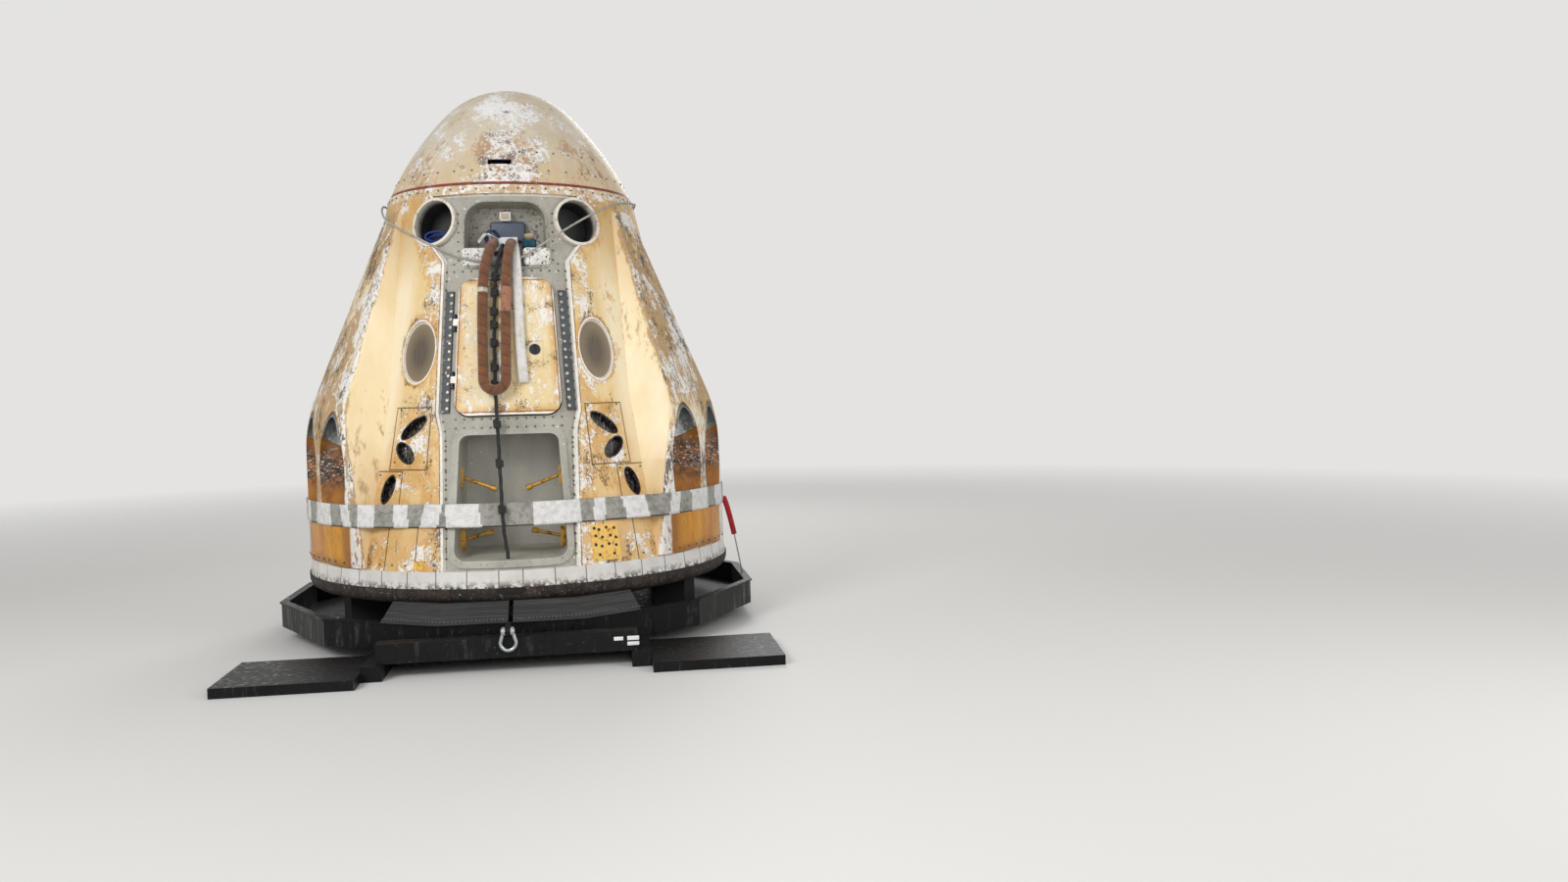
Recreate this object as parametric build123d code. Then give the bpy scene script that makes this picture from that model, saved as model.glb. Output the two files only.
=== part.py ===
from build123d import *
from math import asin, atan, cos, degrees, pi, radians, sin, sqrt, tan
import os

# A crew capsule after landing, standing in its steel recovery nest.
# Millimetres. Origin on the floor under the capsule's axis, +Z up, the side hatch faces -Y.
# Heights named *_h are measured upwards from the shoulder, the widest plane of the capsule.

# Capsule, driving sizes
shoulder_z = 600          # shoulder above the floor
shoulder_r = 2000         # widest radius
dish_depth = 380          # lowest point of the heat shield, below the shoulder
edge_h, edge_round = 110, 95   # upright edge of the heat shield and the rounding under it
ring_top_h = 140          # top of the white shoulder ring
ring_step = 10            # the ring's foot lies this far inside the shield's edge
ring_wall, ring_proud = 150, 15
skin_step = 40            # the skin's foot lies this far inside the shield's edge
seam_r = 1160             # skin radius at the nose seam
seam_h = 3480             # nose seam
upper_ring_height = 80    # ring between the skin panels and the nose seam
wall = 110                # skin panel with its frames
recess = 45               # the grey frame lies this far under the skin

# Escape engine pods
pod_step = 10             # the pods' outer face lies this far inside the shield's edge
pod_knee_h = 1400         # where the upright outer face meets the sloping one
pod_knee_blend = 1200
pod_azimuth = 59.5        # off the front, and mirrored at the rear
pod_sections = [          # height, half angle of the foot on the skin, lean of the flanks to the middle
    (150, 20.0, 4),
    (1000, 19.3, 6),
    (1600, 19.0, 18),
    (seam_h - 180, 8.0, 20),
]
pod_round_r = 60          # rounding of the two long outer corners
scoop_azimuth = 7.8       # engine scoops, either side of the pod's middle
scoop_h = 1390            # where a scoop's axis passes the mouth
scoop_depth = 135         # and how far inside the pod's outer face
scoop_r, scoop_flare = 140, 12.5   # radius there, and half angle as it widens downwards
scoop_tilt = 28           # the exhaust leaves downwards and this far outwards
scoop_foot_h = 590        # the scoop ends on a ledge, behind the belt
scoop_rise, scoop_length = 170, 1400
engine_wall, engine_length, engine_gap = 14, 330, 6

# Side hatch, measured on the skin
hatch_foot_h, hatch_top_h = 1440, 2640
hatch_foot_half, hatch_top_half = 470, 407.5
hatch_corner = 140
hatch_gap = 12
hatch_draft = 8
hatch_near, hatch_deep = 40, 260   # how far its cutting block reaches out of and into the skin
hinge_offset = 24         # hinge line, outside the hatch's left edge
hinge_sink = 14           # hinge line, under the skin
hinge_pin_r, hinge_pin_play = 8, 0.5
knuckle_r, knuckle_length, knuckle_gap, ear_length = 14, 60, 5, 40
knuckle_arm_thick, knuckle_arm_root = 24, 30   # the root lies inside the hatch
hinge_stations = (1750, 2250)
latch_x, latch_h, latch_r, latch_plate, latch_depth = 238, 2000, 50, 150, 30
latch_plate_sink, latch_play = 10, 1
socket_thick, socket_floor, socket_slot = 20, 8, (24, 80)

# Riser channels beside the hatch
channel_foot_h, channel_top_h = hatch_foot_h + 30, hatch_top_h - 110
channel_out = 80          # middle of a channel, outside the hatch's edge
channel_width, channel_thick = 72, 20

# Main parachute bay
bay_foot_h, bay_top_h = 215, 1290
bay_foot_half, bay_top_half = 485, 436
bay_corner = 100
bay_back_y, bay_draft = -1160, 45
bay_wall = 15
bay_rim, bay_rim_proud = 60, 18

# Pilot parachute alcove, under the upper ring
panel_top_h = seam_h - upper_ring_height
alcove_top_h = panel_top_h - 50
alcove_foot_h = alcove_top_h - 620
alcove_half = 378
alcove_foot_corner, alcove_top_corner = 60, 200
alcove_back_y, alcove_draft = -950, 55
alcove_wall = 12

# Drogue parachute tubes
drogue_azimuth, drogue_h = 31, panel_top_h - 240
drogue_axis_azimuth, drogue_axis_lift = 24, 8
drogue_r, drogue_wall, drogue_depth = 226, 26, 330
drogue_proud = 12

# Grey front frame: how far its edge lies outside the bay and the hatch, and its corner radii
frame_side_bay, frame_side_hatch = 75, 124
frame_radii = (300, 120, 110, 30)
frame_neck_h = alcove_foot_h + 60

# Windows
window_azimuth, window_h = 30.5, 2000
window_half_width, window_half_length = 165, 277
window_pane, window_sink = 25, 24

# Manoeuvring thruster exits
thruster_rows = [         # azimuth, height, half length, half width, turn from level
    (29.1, 1344, 145, 53, -38),
    (31.2, 1127, 115, 60, 42),
    (35.6, 818, 125, 56, -72),
]
thruster_wall, thruster_depth = 12, 85

# Cabin
floor_h, floor_thick = bay_top_h + 70, 30
tunnel_r = 410
ceiling_thick = 40
inner_hatch_overlap, inner_hatch_thick, inner_hatch_gap = 25, 40, 5
inner_hinge_y, inner_hinge_x = 470, 90
inner_pin_r, inner_lug_r, inner_arm_width, inner_lug_width = 8, 16, 30, 20
handle_length, handle_width, handle_drop, handle_rod = 260, 30, 50, 25
docking_wall, docking_rise = 90, 300
petal_rise, petal_count, petal_half_angle = 110, 3, 28
petal_foot, petal_top = (20, 70), (5, 25)   # inner and outer face, outside the tunnel's radius
seat_xs = (-840, -280, 280, 840)
seat_width, seat_thick, seat_length, seat_back, seat_h = 460, 60, 480, 900, 1820
seat_y, seat_recline, seat_knee, seat_lap = -150, 20, 40, 25
post_size, post_sink = 90, 25
console_width, console_height, console_thick, console_h = 1100, 420, 60, 2700
console_y, console_tilt, console_arm_x, console_arm = -620, 25, 260, 50

# Nose cone
nose_shell = 30
nose_gap = 5
nose_side_r = 2785
nose_top_r = 845
nose_top_h = seam_h + 1070
nose_hinge_y, nose_hinge_h = seam_r + 65, seam_h + 80
nose_pin_r, nose_lug_r, nose_lug_width, nose_hinge_x = 20, 42, 40, 170
nose_arm_root, nose_arm_height = 110, 67
vent_x, vent_h, vent_length, vent_height = -40, seam_h + 220, 208, 47

# Recovery nest
nest_room = 180           # the ring's flat sides stand this far outside the heat shield
nest_wall, nest_rim_z, nest_sides = 60, 350, 12
nest_flange, nest_flange_thick = 15, 15
nest_hole_r = 900
runner_x, runner_width, runner_height, runner_reach = 1050, 160, 120, 380
deck_plate = 30
beam_half_length, beam_height, beam_depth, beam_reach = 1025, 160, 160, 310
pad_count, pad_inset, pad_size, pad_top_z = 8, 440, 300, 480
bumper_foot_out, bumper_top_out, bumper_in = 35, 40, 5   # outside the ring, outside and inside the shield
bumper_height, bumper_half_span, bumper_split = 150, 29, 0.5
shelf_thick = 20
foot_plate_thick, foot_plate_width, foot_plate_ys = 80, 1050, (1900, 2800)
lug_thick, lug_r, lug_hole_r, lug_out, lug_rise, lug_setback = 40, 44, 24, 25, 55, 20
shackle_rod_r, shackle_ear_r, shackle_ear, shackle_bow_r, shackle_drop = 15, 36, 22, 62, 90
shackle_play, shackle_pin_end = 3, 8

# Belt
belt_foot_h, belt_top_h, belt_thick, belt_stand = 500, 700, 6, 1

# Clamp arms in the main bay
clamp_rows = [            # height on the wall, reach towards the middle, height there
    (900, 150, 800),
    (360, 190, 420),
]
clamp_y, clamp_rod_r = bay_back_y - 320, 15
clamp_plate, clamp_pad_r, clamp_pad_length = (160, 60, 170), 25, 50
clamp_root, clamp_forward = 20, 40         # the rod starts inside its plate and leans forwards

# Riser fitting in the alcove
fitting_x, fitting_h, fitting_width, fitting_height = -30, alcove_foot_h + 225, 260, 120
fitting_front_y = alcove_back_y - 170

# Lifting strop: both ends on the riser fitting, hanging over the hatch
strop_r = 44
strop_route = [
    (-105, -1120.3, 3560), (-105, -1200, 3560), (-128, -1322, 3494), (-168, -1402, 3345),
    (-190, -1436, 3180), (-197, -1480, 2980), (-199, -1530, 2770), (-198, -1585, 2570),
    (-196, -1629, 2420), (-195, -1674, 2292), (-100, -1706, 2237), (-5, -1686, 2292),
    (-4, -1640, 2420), (-3, -1593, 2570), (0, -1541, 2770), (3, -1490, 2980),
    (8, -1444, 3180), (20, -1408, 3345), (37, -1326, 3492), (45, -1200, 3560), (45, -1120.3, 3560),
]

# Knotted rope: from the riser fitting, between the strop's legs, to the bay's lower rim
rope_r = 17
rope_route = [
    (-30, -1120.3, 3545), (-30, -1190, 3545), (-46, -1300, 3455), (-75, -1370, 3310),
    (-92, -1411, 3150), (-98, -1458, 2950), (-101, -1507, 2750), (-102, -1554, 2550),
    (-101, -1602, 2350), (-98, -1644, 2180), (-92, -1686, 2030), (-84, -1724, 1870),
    (-76, -1768, 1690), (-70, -1815, 1500), (-62, -1864, 1320), (-54, -1908, 1150),
    (-46, -1918, 1040), (-38, -1893, 955), (-30, -1858, 893), (-28, -1852, 827),
]

# Tag line: round the back of the nose seam, then hanging in a V across the front
line_r = 10
line_rear = [             # azimuth, height, distance outside the skin
    (81, 3440, 34), (100, 3432, 34), (120, 3415, 34), (140, 3392, 34), (160, 3366, 34),
    (180, 3350, 34), (200, 3364, 34), (220, 3390, 34), (240, 3413, 34), (260, 3430, 34),
    (279, 3438, 34), (291, 3355, 70), (303, 3225, 95), (315, 3110, 60),
]
line_front = [
    (-655, -1152, 3550), (-440, -1272, 3440), (-250, -1305, 3385), (-60, -1302, 3372),
    (130, -1300, 3400), (335, -1290, 3540), (668, -1112, 3770), (905, -826, 3925),
    (1085, -540, 4018), (1176, -215, 4038),
]

os.makedirs("parts", exist_ok=True)
pieces = {}

ring_r = shoulder_r - ring_step
cone_foot_r = shoulder_r - skin_step
pod_r = shoulder_r - pod_step
slope = atan((cone_foot_r - seam_r) / (seam_h - ring_top_h))
deck_z = runner_height + deck_plate
nest_apothem = shoulder_r + nest_room


def z_of(h):
    return shoulder_z + h


def skin_r(h):
    return cone_foot_r + (seam_r - cone_foot_r) * (h - ring_top_h) / (seam_h - ring_top_h)


def around(r, azimuth, z):
    """A point at a radius, an azimuth off the front towards +X, and a world height."""
    a = radians(azimuth)
    return Vector(r * sin(a), -r * cos(a), z)


def revolved(*points):
    """A solid turned about Z from corners given as (radius, world height)."""
    with BuildPart() as turned:
        with BuildSketch(Plane.XZ):
            with BuildLine():
                Polyline(*points, close=True)
            make_face()
        revolve(axis=Axis.Z)
    return turned.part


def cone_band(foot_h, top_h, out, thick):
    """A conical shell whose outer face lies this far outside the skin."""
    r0, r1 = skin_r(foot_h) + out, skin_r(top_h) + out
    z0, z1 = z_of(foot_h), z_of(top_h)
    return revolved((r0 - thick, z0), (r0, z0), (r1, z1), (r1 - thick, z1))


def full_cone(foot_h, top_h, out):
    r0, r1 = skin_r(foot_h) + out, skin_r(top_h) + out
    z0, z1 = z_of(foot_h), z_of(top_h)
    return revolved((0, z0), (r0, z0), (r1, z1), (0, z1))


def shield_solid():
    """The heat shield: a shallow dish with a rounded, upright edge."""
    foot_z, corner_z = shoulder_z - dish_depth, shoulder_z - edge_h
    dish_r = (shoulder_r ** 2 + (corner_z - foot_z) ** 2) / (2 * (corner_z - foot_z))
    halfway_z = foot_z + dish_r - sqrt(dish_r ** 2 - (shoulder_r / 2) ** 2)
    with BuildPart() as turned:
        with BuildSketch(Plane.XZ) as drawn:
            with BuildLine():
                ThreePointArc((0, foot_z), (shoulder_r / 2, halfway_z), (shoulder_r, corner_z))
                Polyline((shoulder_r, corner_z), (shoulder_r, shoulder_z), (0, shoulder_z), (0, foot_z))
            make_face()
            corner = drawn.vertices().sort_by_distance((shoulder_r, corner_z, 0))[0]
            fillet(corner, edge_round)
        revolve(axis=Axis.Z)
    return turned.part


def rounded_trapezoid(plane, foot, top, foot_half, top_half, foot_corner, top_corner, grow):
    """Outline with two lower and two upper corner radii, grown by a margin, on a plane."""
    lean = (foot_half - top_half) / (top - foot)
    points = [(-foot_half - grow * (1 + lean), foot - grow), (foot_half + grow * (1 + lean), foot - grow),
              (top_half + grow * (1 - lean), top + grow), (-top_half - grow * (1 - lean), top + grow)]
    with BuildSketch(plane) as drawn:
        with BuildLine():
            Polyline(*points, close=True)
        make_face()
        fillet(drawn.vertices().group_by(Axis.Y)[0], foot_corner + grow)
        fillet(drawn.vertices().group_by(Axis.Y)[-1], top_corner + grow)
    return drawn.sketch.faces()[0]


def tapered_block(plane, near, deep, draft, size, margin):
    """A block through a rounded outline, which narrows inwards by a draft angle."""
    faces = [rounded_trapezoid(plane.offset(level), *size, margin + level * tan(radians(draft)))
             for level in (near, -deep)]
    return loft(faces, ruled=True)


def half_space(x_sign=0, y_sign=0):
    """A large box on one side of the planes X = 0 and Y = 0."""
    aligned = {-1: Align.MAX, 0: Align.CENTER, 1: Align.MIN}
    return Box(9000, 9000, 12000, align=(aligned[x_sign], aligned[y_sign], Align.CENTER))


def four_ways(solid):
    """A front right piece and its mirror images, by name."""
    rear = mirror(solid, about=Plane.XZ)
    return {"front_right": solid, "front_left": mirror(solid, about=Plane.YZ),
            "rear_right": rear, "rear_left": mirror(rear, about=Plane.YZ)}


def keep(name, *solids):
    pieces[name] = [s for solid in solids for s in solid.solids()]


# Heat shield and shoulder ring
shield = shield_solid()
keep("heat_shield", shield)
ring_top_r = cone_foot_r + ring_proud
keep("shoulder_ring", revolved((ring_r - ring_wall, z_of(0)), (ring_r, z_of(0)), (ring_top_r, z_of(ring_top_h)),
                               (ring_top_r - ring_wall, z_of(ring_top_h))))

# Cuts shared by the skin and what sits in it
hatch_mid_h = (hatch_foot_h + hatch_top_h) / 2
hatch_plane = Plane(origin=(0, -skin_r(hatch_mid_h), z_of(hatch_mid_h)), x_dir=(1, 0, 0),
                    z_dir=(0, -cos(slope), sin(slope)))
hatch_half_height = (hatch_top_h - hatch_mid_h) / cos(slope)
hatch_size = (-hatch_half_height, hatch_half_height, hatch_foot_half, hatch_top_half,
              hatch_corner, hatch_corner)
hatch_solid = tapered_block(hatch_plane, hatch_near, hatch_deep, hatch_draft, hatch_size, 0)
hatch_opening = tapered_block(hatch_plane, hatch_near, hatch_deep, hatch_draft, hatch_size, hatch_gap)


def hatch_half(h):
    along = (h - hatch_foot_h) / (hatch_top_h - hatch_foot_h)
    return hatch_foot_half + (hatch_top_half - hatch_foot_half) * along


def bay_block(margin):
    size = (z_of(bay_foot_h), z_of(bay_top_h), bay_foot_half, bay_top_half, bay_corner, bay_corner)
    draft = degrees(atan(bay_draft / (shoulder_r + bay_back_y)))
    shift = margin - shoulder_r * tan(radians(draft))
    return tapered_block(Plane.XZ, shoulder_r + 50, bay_back_y + margin, draft, size, shift)


def alcove_block(margin):
    size = (z_of(alcove_foot_h), z_of(alcove_top_h), alcove_half, alcove_half,
            alcove_foot_corner, alcove_top_corner)
    front = skin_r(alcove_foot_h)
    draft = degrees(atan(alcove_draft / (front + alcove_back_y)))
    shift = margin - front * tan(radians(draft))
    return tapered_block(Plane.XZ, front + 150, alcove_back_y + margin, draft, size, shift)


drogue_mouth = around(skin_r(drogue_h), drogue_azimuth, z_of(drogue_h))
drogue_way = around(cos(radians(drogue_axis_lift)), drogue_axis_azimuth, sin(radians(drogue_axis_lift)))
drogue_plane = Plane(origin=drogue_mouth, z_dir=drogue_way)


def drogue_rod(radius, deep):
    return Solid.make_cylinder(radius, deep + 300, drogue_plane.offset(-deep))


window_normal = around(cos(slope), window_azimuth, sin(slope))
window_plane = Plane(origin=around(skin_r(window_h), window_azimuth, z_of(window_h)),
                     x_dir=around(1, window_azimuth + 90, 0), z_dir=window_normal)


def window_rod(margin, foot, length):
    """An oval rod across the skin at the right window."""
    with BuildPart() as rod:
        with BuildSketch(window_plane.offset(foot)):
            Ellipse(window_half_width + margin, window_half_length + margin)
        extrude(amount=length)
    return rod.part


def thruster_rod(row, margin, foot, length):
    azimuth, h, half_length, half_width, turn = row
    plane = Plane(origin=around(skin_r(h), azimuth, z_of(h)), x_dir=around(1, azimuth + 90, 0),
                  z_dir=around(cos(slope), azimuth, sin(slope)))
    with BuildPart() as rod:
        with BuildSketch(plane.offset(foot)):
            Ellipse(half_length + margin, half_width + margin, rotation=turn)
        extrude(amount=length)
    return rod.part


# Grey front frame: everything inside one outline over the front, which runs up into the drogue tubes
frame_corners = [
    (bay_foot_half + frame_side_bay, z_of(bay_top_h)),
    (hatch_foot_half + frame_side_hatch, z_of(hatch_foot_h + 20)),
    (hatch_top_half + frame_side_hatch, z_of(frame_neck_h)),
    (drogue_mouth.X, drogue_mouth.Z - drogue_r + 10),
]
frame_foot = (bay_foot_half + frame_side_bay, z_of(0))
frame_top = (drogue_mouth.X, z_of(panel_top_h + 50))
with BuildPart() as frame_prism:
    with BuildSketch(Plane.XZ):
        with BuildLine():
            FilletPolyline(frame_foot, *frame_corners, frame_top, radius=list(frame_radii))
            Line(frame_top, (0, frame_top[1]))
            Line((0, frame_top[1]), (0, frame_foot[1]))
            Line((0, frame_foot[1]), frame_foot)
        make_face()
        mirror(about=Plane.YZ)
    extrude(amount=shoulder_r + 600)
frame_prism = frame_prism.part

drogue_cuts = [drogue_rod(drogue_r, drogue_depth)]
drogue_cuts.append(mirror(drogue_cuts[0], about=Plane.YZ))

bay_collar = (cone_band(ring_top_h, floor_h, bay_rim_proud - recess, wall + bay_rim_proud - recess)
              & bay_block(bay_rim) & half_space(y_sign=-1))
frame = cone_band(ring_top_h, panel_top_h, -recess, wall - recess) & frame_prism
frame = frame + bay_collar - hatch_opening - bay_block(bay_wall) - alcove_block(alcove_wall)
for cut in drogue_cuts:
    frame = frame - cut
keep("front_frame", frame)

# Skin panels: two over the front and two over the rear
skin = cone_band(ring_top_h, panel_top_h, 0, wall)
front_skin = skin & half_space(x_sign=1, y_sign=-1)
front_right = front_skin - frame_prism - bay_block(bay_rim) - drogue_cuts[0] - window_rod(0, -260, 400)
rear_right = skin & half_space(x_sign=1, y_sign=1)
for row in thruster_rows:
    hole = thruster_rod(row, thruster_wall, -thruster_depth, 400)
    front_right = front_right - hole
    rear_right = rear_right - mirror(hole, about=Plane.XZ)
keep("front_right_panel", front_right)
keep("front_left_panel", mirror(front_right, about=Plane.YZ))
keep("rear_right_panel", rear_right)
keep("rear_left_panel", mirror(rear_right, about=Plane.YZ))

# Upper ring and the bulkhead inside it
keep("upper_ring", cone_band(panel_top_h, seam_h, 0, wall))
ceiling_top_h = panel_top_h + ceiling_thick
keep("forward_bulkhead", revolved((tunnel_r, z_of(panel_top_h)), (skin_r(panel_top_h) - wall, z_of(panel_top_h)),
                                  (skin_r(ceiling_top_h) - wall, z_of(ceiling_top_h)),
                                  (tunnel_r, z_of(ceiling_top_h))))

# Cabin floor
floor_top_h = floor_h + floor_thick
keep("cabin_floor", revolved((0, z_of(floor_h)), (skin_r(floor_h) - wall, z_of(floor_h)),
                             (skin_r(floor_top_h) - wall, z_of(floor_top_h)), (0, z_of(floor_top_h))))

# Parachute bay, alcove and drogue tubes
inside_frame = full_cone(ring_top_h, seam_h, -recess + bay_rim_proud)
keep("main_parachute_bay", (bay_block(bay_wall) - bay_block(0)) & inside_frame)
keep("pilot_parachute_alcove", (alcove_block(alcove_wall) - alcove_block(0)) & inside_frame)

drogue_bore = drogue_rod(drogue_r - drogue_wall, drogue_depth - drogue_wall)
drogue_tube = (drogue_cuts[0] - drogue_bore) & full_cone(ring_top_h, seam_h, drogue_proud)
keep("right_drogue_tube", drogue_tube)
keep("left_drogue_tube", mirror(drogue_tube, about=Plane.YZ))

# Windows
window_glass = window_rod(0, -window_sink - window_pane, window_pane)
keep("right_window", window_glass)
keep("left_window", mirror(window_glass, about=Plane.YZ))

# Manoeuvring thrusters: open cups that end flush with the skin
cups = []
for row in thruster_rows:
    cup = thruster_rod(row, thruster_wall, -thruster_depth, 400)
    cup = cup - thruster_rod(row, 0, -thruster_depth + thruster_wall, 400)
    cups.append(cup & full_cone(ring_top_h, seam_h, 0))
for side, mirrored in four_ways(Compound([s for cup in cups for s in cup.solids()])).items():
    keep(side + "_thrusters", mirrored)

# Escape engine pods
pod_slope_point = (seam_r, z_of(seam_h))
with BuildPart() as pod_round:
    with BuildSketch(Plane.XZ):
        with BuildLine():
            FilletPolyline((pod_r, z_of(ring_top_h)), (pod_r, z_of(pod_knee_h)), pod_slope_point,
                           radius=pod_knee_blend)
            Polyline(pod_slope_point, (0, z_of(seam_h)), (0, z_of(ring_top_h)), (pod_r, z_of(ring_top_h)))
        make_face()
    revolve(axis=Axis.Z)


def pod_out(h):
    """How far a pod stands out from the skin."""
    sloping = seam_r + (pod_r - seam_r) * (seam_h - h) / (seam_h - pod_knee_h)
    return min(pod_r, sloping) - skin_r(h)


def pod_flank(h, foot_half, lean):
    """A straight line along a pod's flank, from inside the skin to outside the pod."""
    foot = around(skin_r(h), foot_half, z_of(h))
    way = Vector(-sin(radians(lean)), -cos(radians(lean)), 0)
    return foot - way * 500, foot + way * (2 * pod_out(h) + 60)


def pod_section(row):
    """One slice of the wedge that a pod's two flanks make, about azimuth 0."""
    inner, outer = pod_flank(*row)
    mirrored = [Vector(-p.X, p.Y, p.Z) for p in (outer, inner)]
    return make_face(Polyline(inner, outer, mirrored[0], mirrored[1], close=True).edges())


def is_outer_corner(edge):
    """True for the edges where a pod's flanks meet its outer face."""
    ends = (edge @ 0, edge @ 1)
    outside = [sqrt(p.X ** 2 + p.Y ** 2) - skin_r(p.Z - shoulder_z) for p in (edge @ 0.5, *ends)]
    upright = abs(ends[1].Z - ends[0].Z) > 0.9 * edge.length
    return upright and outside[0] > 5


def scoop(margin, length, start=0):
    """A channel that widens downwards and leaves the pod's face, for one engine."""
    way = Vector(0, -sin(radians(scoop_tilt)), -cos(radians(scoop_tilt)))
    mouth = around(pod_r - scoop_depth, 0, z_of(scoop_h))
    widening = tan(radians(scoop_flare))
    above = scoop_rise - start
    top_r = scoop_r - above * widening + margin
    return Solid.make_cone(top_r, top_r + length * widening, length, Plane(origin=mouth - way * above, z_dir=way))


wedge = loft([pod_section(row) for row in pod_sections], ruled=True)
over_ledge = Box(9000, 9000, 9000, align=(Align.CENTER, Align.CENTER, Align.MIN))
scoop_space = scoop(0, scoop_length) & (Pos(0, 0, z_of(scoop_foot_h)) * over_ledge)
pod = pod_round.part & wedge
pod = fillet([edge for edge in pod.edges() if is_outer_corner(edge)], pod_round_r)
pod = Rot(0, 0, pod_azimuth) * pod - full_cone(ring_top_h - 50, seam_h + 50, 0)
engines = []
for side in (-1, 1):
    turn = Rot(0, 0, pod_azimuth + side * scoop_azimuth)
    pod = pod - turn * scoop_space
    outer = scoop(-engine_gap, engine_length)
    inner = scoop(-engine_gap - engine_wall, engine_length, engine_wall)
    engines += ((turn * (outer - inner)) & pod_round.part).solids()
for side, mirrored in four_ways(pod).items():
    keep(side + "_pod", mirrored)
for side, mirrored in four_ways(Compound(engines)).items():
    keep(side + "_engines", mirrored)

# Side hatch, its hinges and its latch
def on_skin(x, h, out):
    """A point this far outside the skin, at a given X and height, and the normal there."""
    azimuth = degrees(asin(x / skin_r(h)))
    normal = around(cos(slope), azimuth, sin(slope))
    return around(skin_r(h), azimuth, z_of(h)) + normal * out, azimuth, normal


def hinge_point(h):
    return on_skin(-hatch_half(h) - hinge_offset, h, -hinge_sink)[0]


hinge_way = (hinge_point(hatch_top_h) - hinge_point(hatch_foot_h)).normalized()
hatch = hatch_solid & cone_band(hatch_foot_h - 100, hatch_top_h + 100, 0, wall) & half_space(y_sign=-1)
frame_outer = full_cone(ring_top_h, panel_top_h, -recess)
hinge_pieces = []
for station in hinge_stations:
    azimuth = on_skin(-hatch_half(station) - hinge_offset, station, 0)[1]
    plane = Plane(origin=hinge_point(station), x_dir=around(1, azimuth + 90, 0), z_dir=hinge_way)
    knuckle = Cylinder(knuckle_r, knuckle_length)
    arm = Box(hinge_offset + knuckle_arm_root, knuckle_arm_thick, knuckle_length,
              align=(Align.MIN, Align.CENTER, Align.CENTER))
    bore = Cylinder(hinge_pin_r + hinge_pin_play, knuckle_length + 2)
    hatch = hatch + (plane * (knuckle + arm)) - (plane * bore)
    ear_at = knuckle_length / 2 + knuckle_gap + ear_length / 2
    hinge = Cylinder(hinge_pin_r, 2 * ear_at + ear_length)
    for end in (-1, 1):
        foot = Box(2 * knuckle_r, recess + 10, ear_length, align=(Align.CENTER, Align.MIN, Align.CENTER))
        hinge = hinge + Pos(0, 0, end * ear_at) * (Cylinder(knuckle_r, ear_length) + foot)
    hinge_pieces.append(plane * hinge - frame_outer)
latch_point, latch_azimuth, latch_normal = on_skin(latch_x, latch_h, 0)
latch_place = Plane(origin=latch_point, x_dir=around(1, latch_azimuth + 90, 0), z_dir=latch_normal)
latch_pocket = latch_place * (Box(latch_plate, latch_plate, 2 * latch_plate_sink) + Cylinder(latch_r, 2 * latch_depth))
hatch = hatch - latch_pocket
on_base = (Align.CENTER, Align.CENTER, Align.MIN)
socket = Pos(0, 0, -latch_depth) * Cylinder(latch_r - latch_play, socket_thick, align=on_base)
socket = socket - Pos(0, 0, -latch_depth + socket_floor) * Box(*socket_slot, socket_thick, align=on_base)
keep("side_hatch", hatch)
keep("hatch_latch_socket", latch_place * socket)
keep("hatch_hinges", *hinge_pieces)

# Riser channels, seated on the frame
channels = []
for side in (-1, 1):
    rows = [on_skin(side * (hatch_half(h) + channel_out), h, -recess + channel_thick)[0]
            for h in (channel_foot_h, channel_top_h)]
    middle = (rows[0] + rows[1]) / 2
    azimuth = degrees(atan(middle.X / -middle.Y))
    place = Plane(origin=middle, x_dir=around(1, azimuth + 90, 0), z_dir=(rows[1] - rows[0]).normalized())
    bar = place * Box(channel_width, 2 * channel_thick + 20, (rows[1] - rows[0]).length)
    shell = cone_band(channel_foot_h - 100, channel_top_h + 100, -recess + channel_thick, channel_thick)
    channels.append(bar & shell)
keep("riser_channels", *channels)

# Inner hatch under the bulkhead, with its hinge
inner_top_z = z_of(panel_top_h) - inner_hatch_gap
inner_axis_z = inner_top_z - inner_hatch_thick / 2
inner_r = tunnel_r + inner_hatch_overlap
inner_hatch = Pos(0, 0, inner_axis_z) * Cylinder(inner_r, inner_hatch_thick)
inner_hinge = []
for side in (-1, 1):
    here = Plane(origin=(side * inner_hinge_x, inner_hinge_y, inner_axis_z), x_dir=(0, 1, 0), z_dir=(1, 0, 0))
    arm = Cylinder(inner_lug_r, inner_arm_width)
    arm = arm + Box(inner_hinge_y - inner_r + 30, 2 * inner_lug_r, inner_arm_width,
                    align=(Align.MAX, Align.CENTER, Align.CENTER))
    inner_hatch = inner_hatch + here * arm - here * Cylinder(inner_pin_r + hinge_pin_play, inner_arm_width + 2)
    lug_at = inner_arm_width / 2 + knuckle_gap + inner_lug_width / 2
    rise = z_of(panel_top_h) - inner_axis_z
    hinge = Cylinder(inner_pin_r, 2 * lug_at + inner_lug_width)
    for end in (-1, 1):
        lug = Cylinder(inner_lug_r, inner_lug_width)
        lug = lug + Box(2 * inner_lug_r, rise, inner_lug_width, align=(Align.CENTER, Align.MIN, Align.CENTER))
        hinge = hinge + Pos(0, 0, end * lug_at) * lug
    inner_hinge.append(here * hinge)
under_hatch = (Align.CENTER, Align.CENTER, Align.MAX)
handle = Box(handle_length, handle_width, handle_drop, align=under_hatch)
handle = handle - Box(handle_length - 2 * handle_rod, handle_width, handle_drop - handle_rod, align=under_hatch)
inner_hatch = inner_hatch + Pos(0, 0, inner_axis_z - inner_hatch_thick / 2) * handle
keep("forward_hatch", inner_hatch)
keep("forward_hatch_hinge", *inner_hinge)

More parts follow.
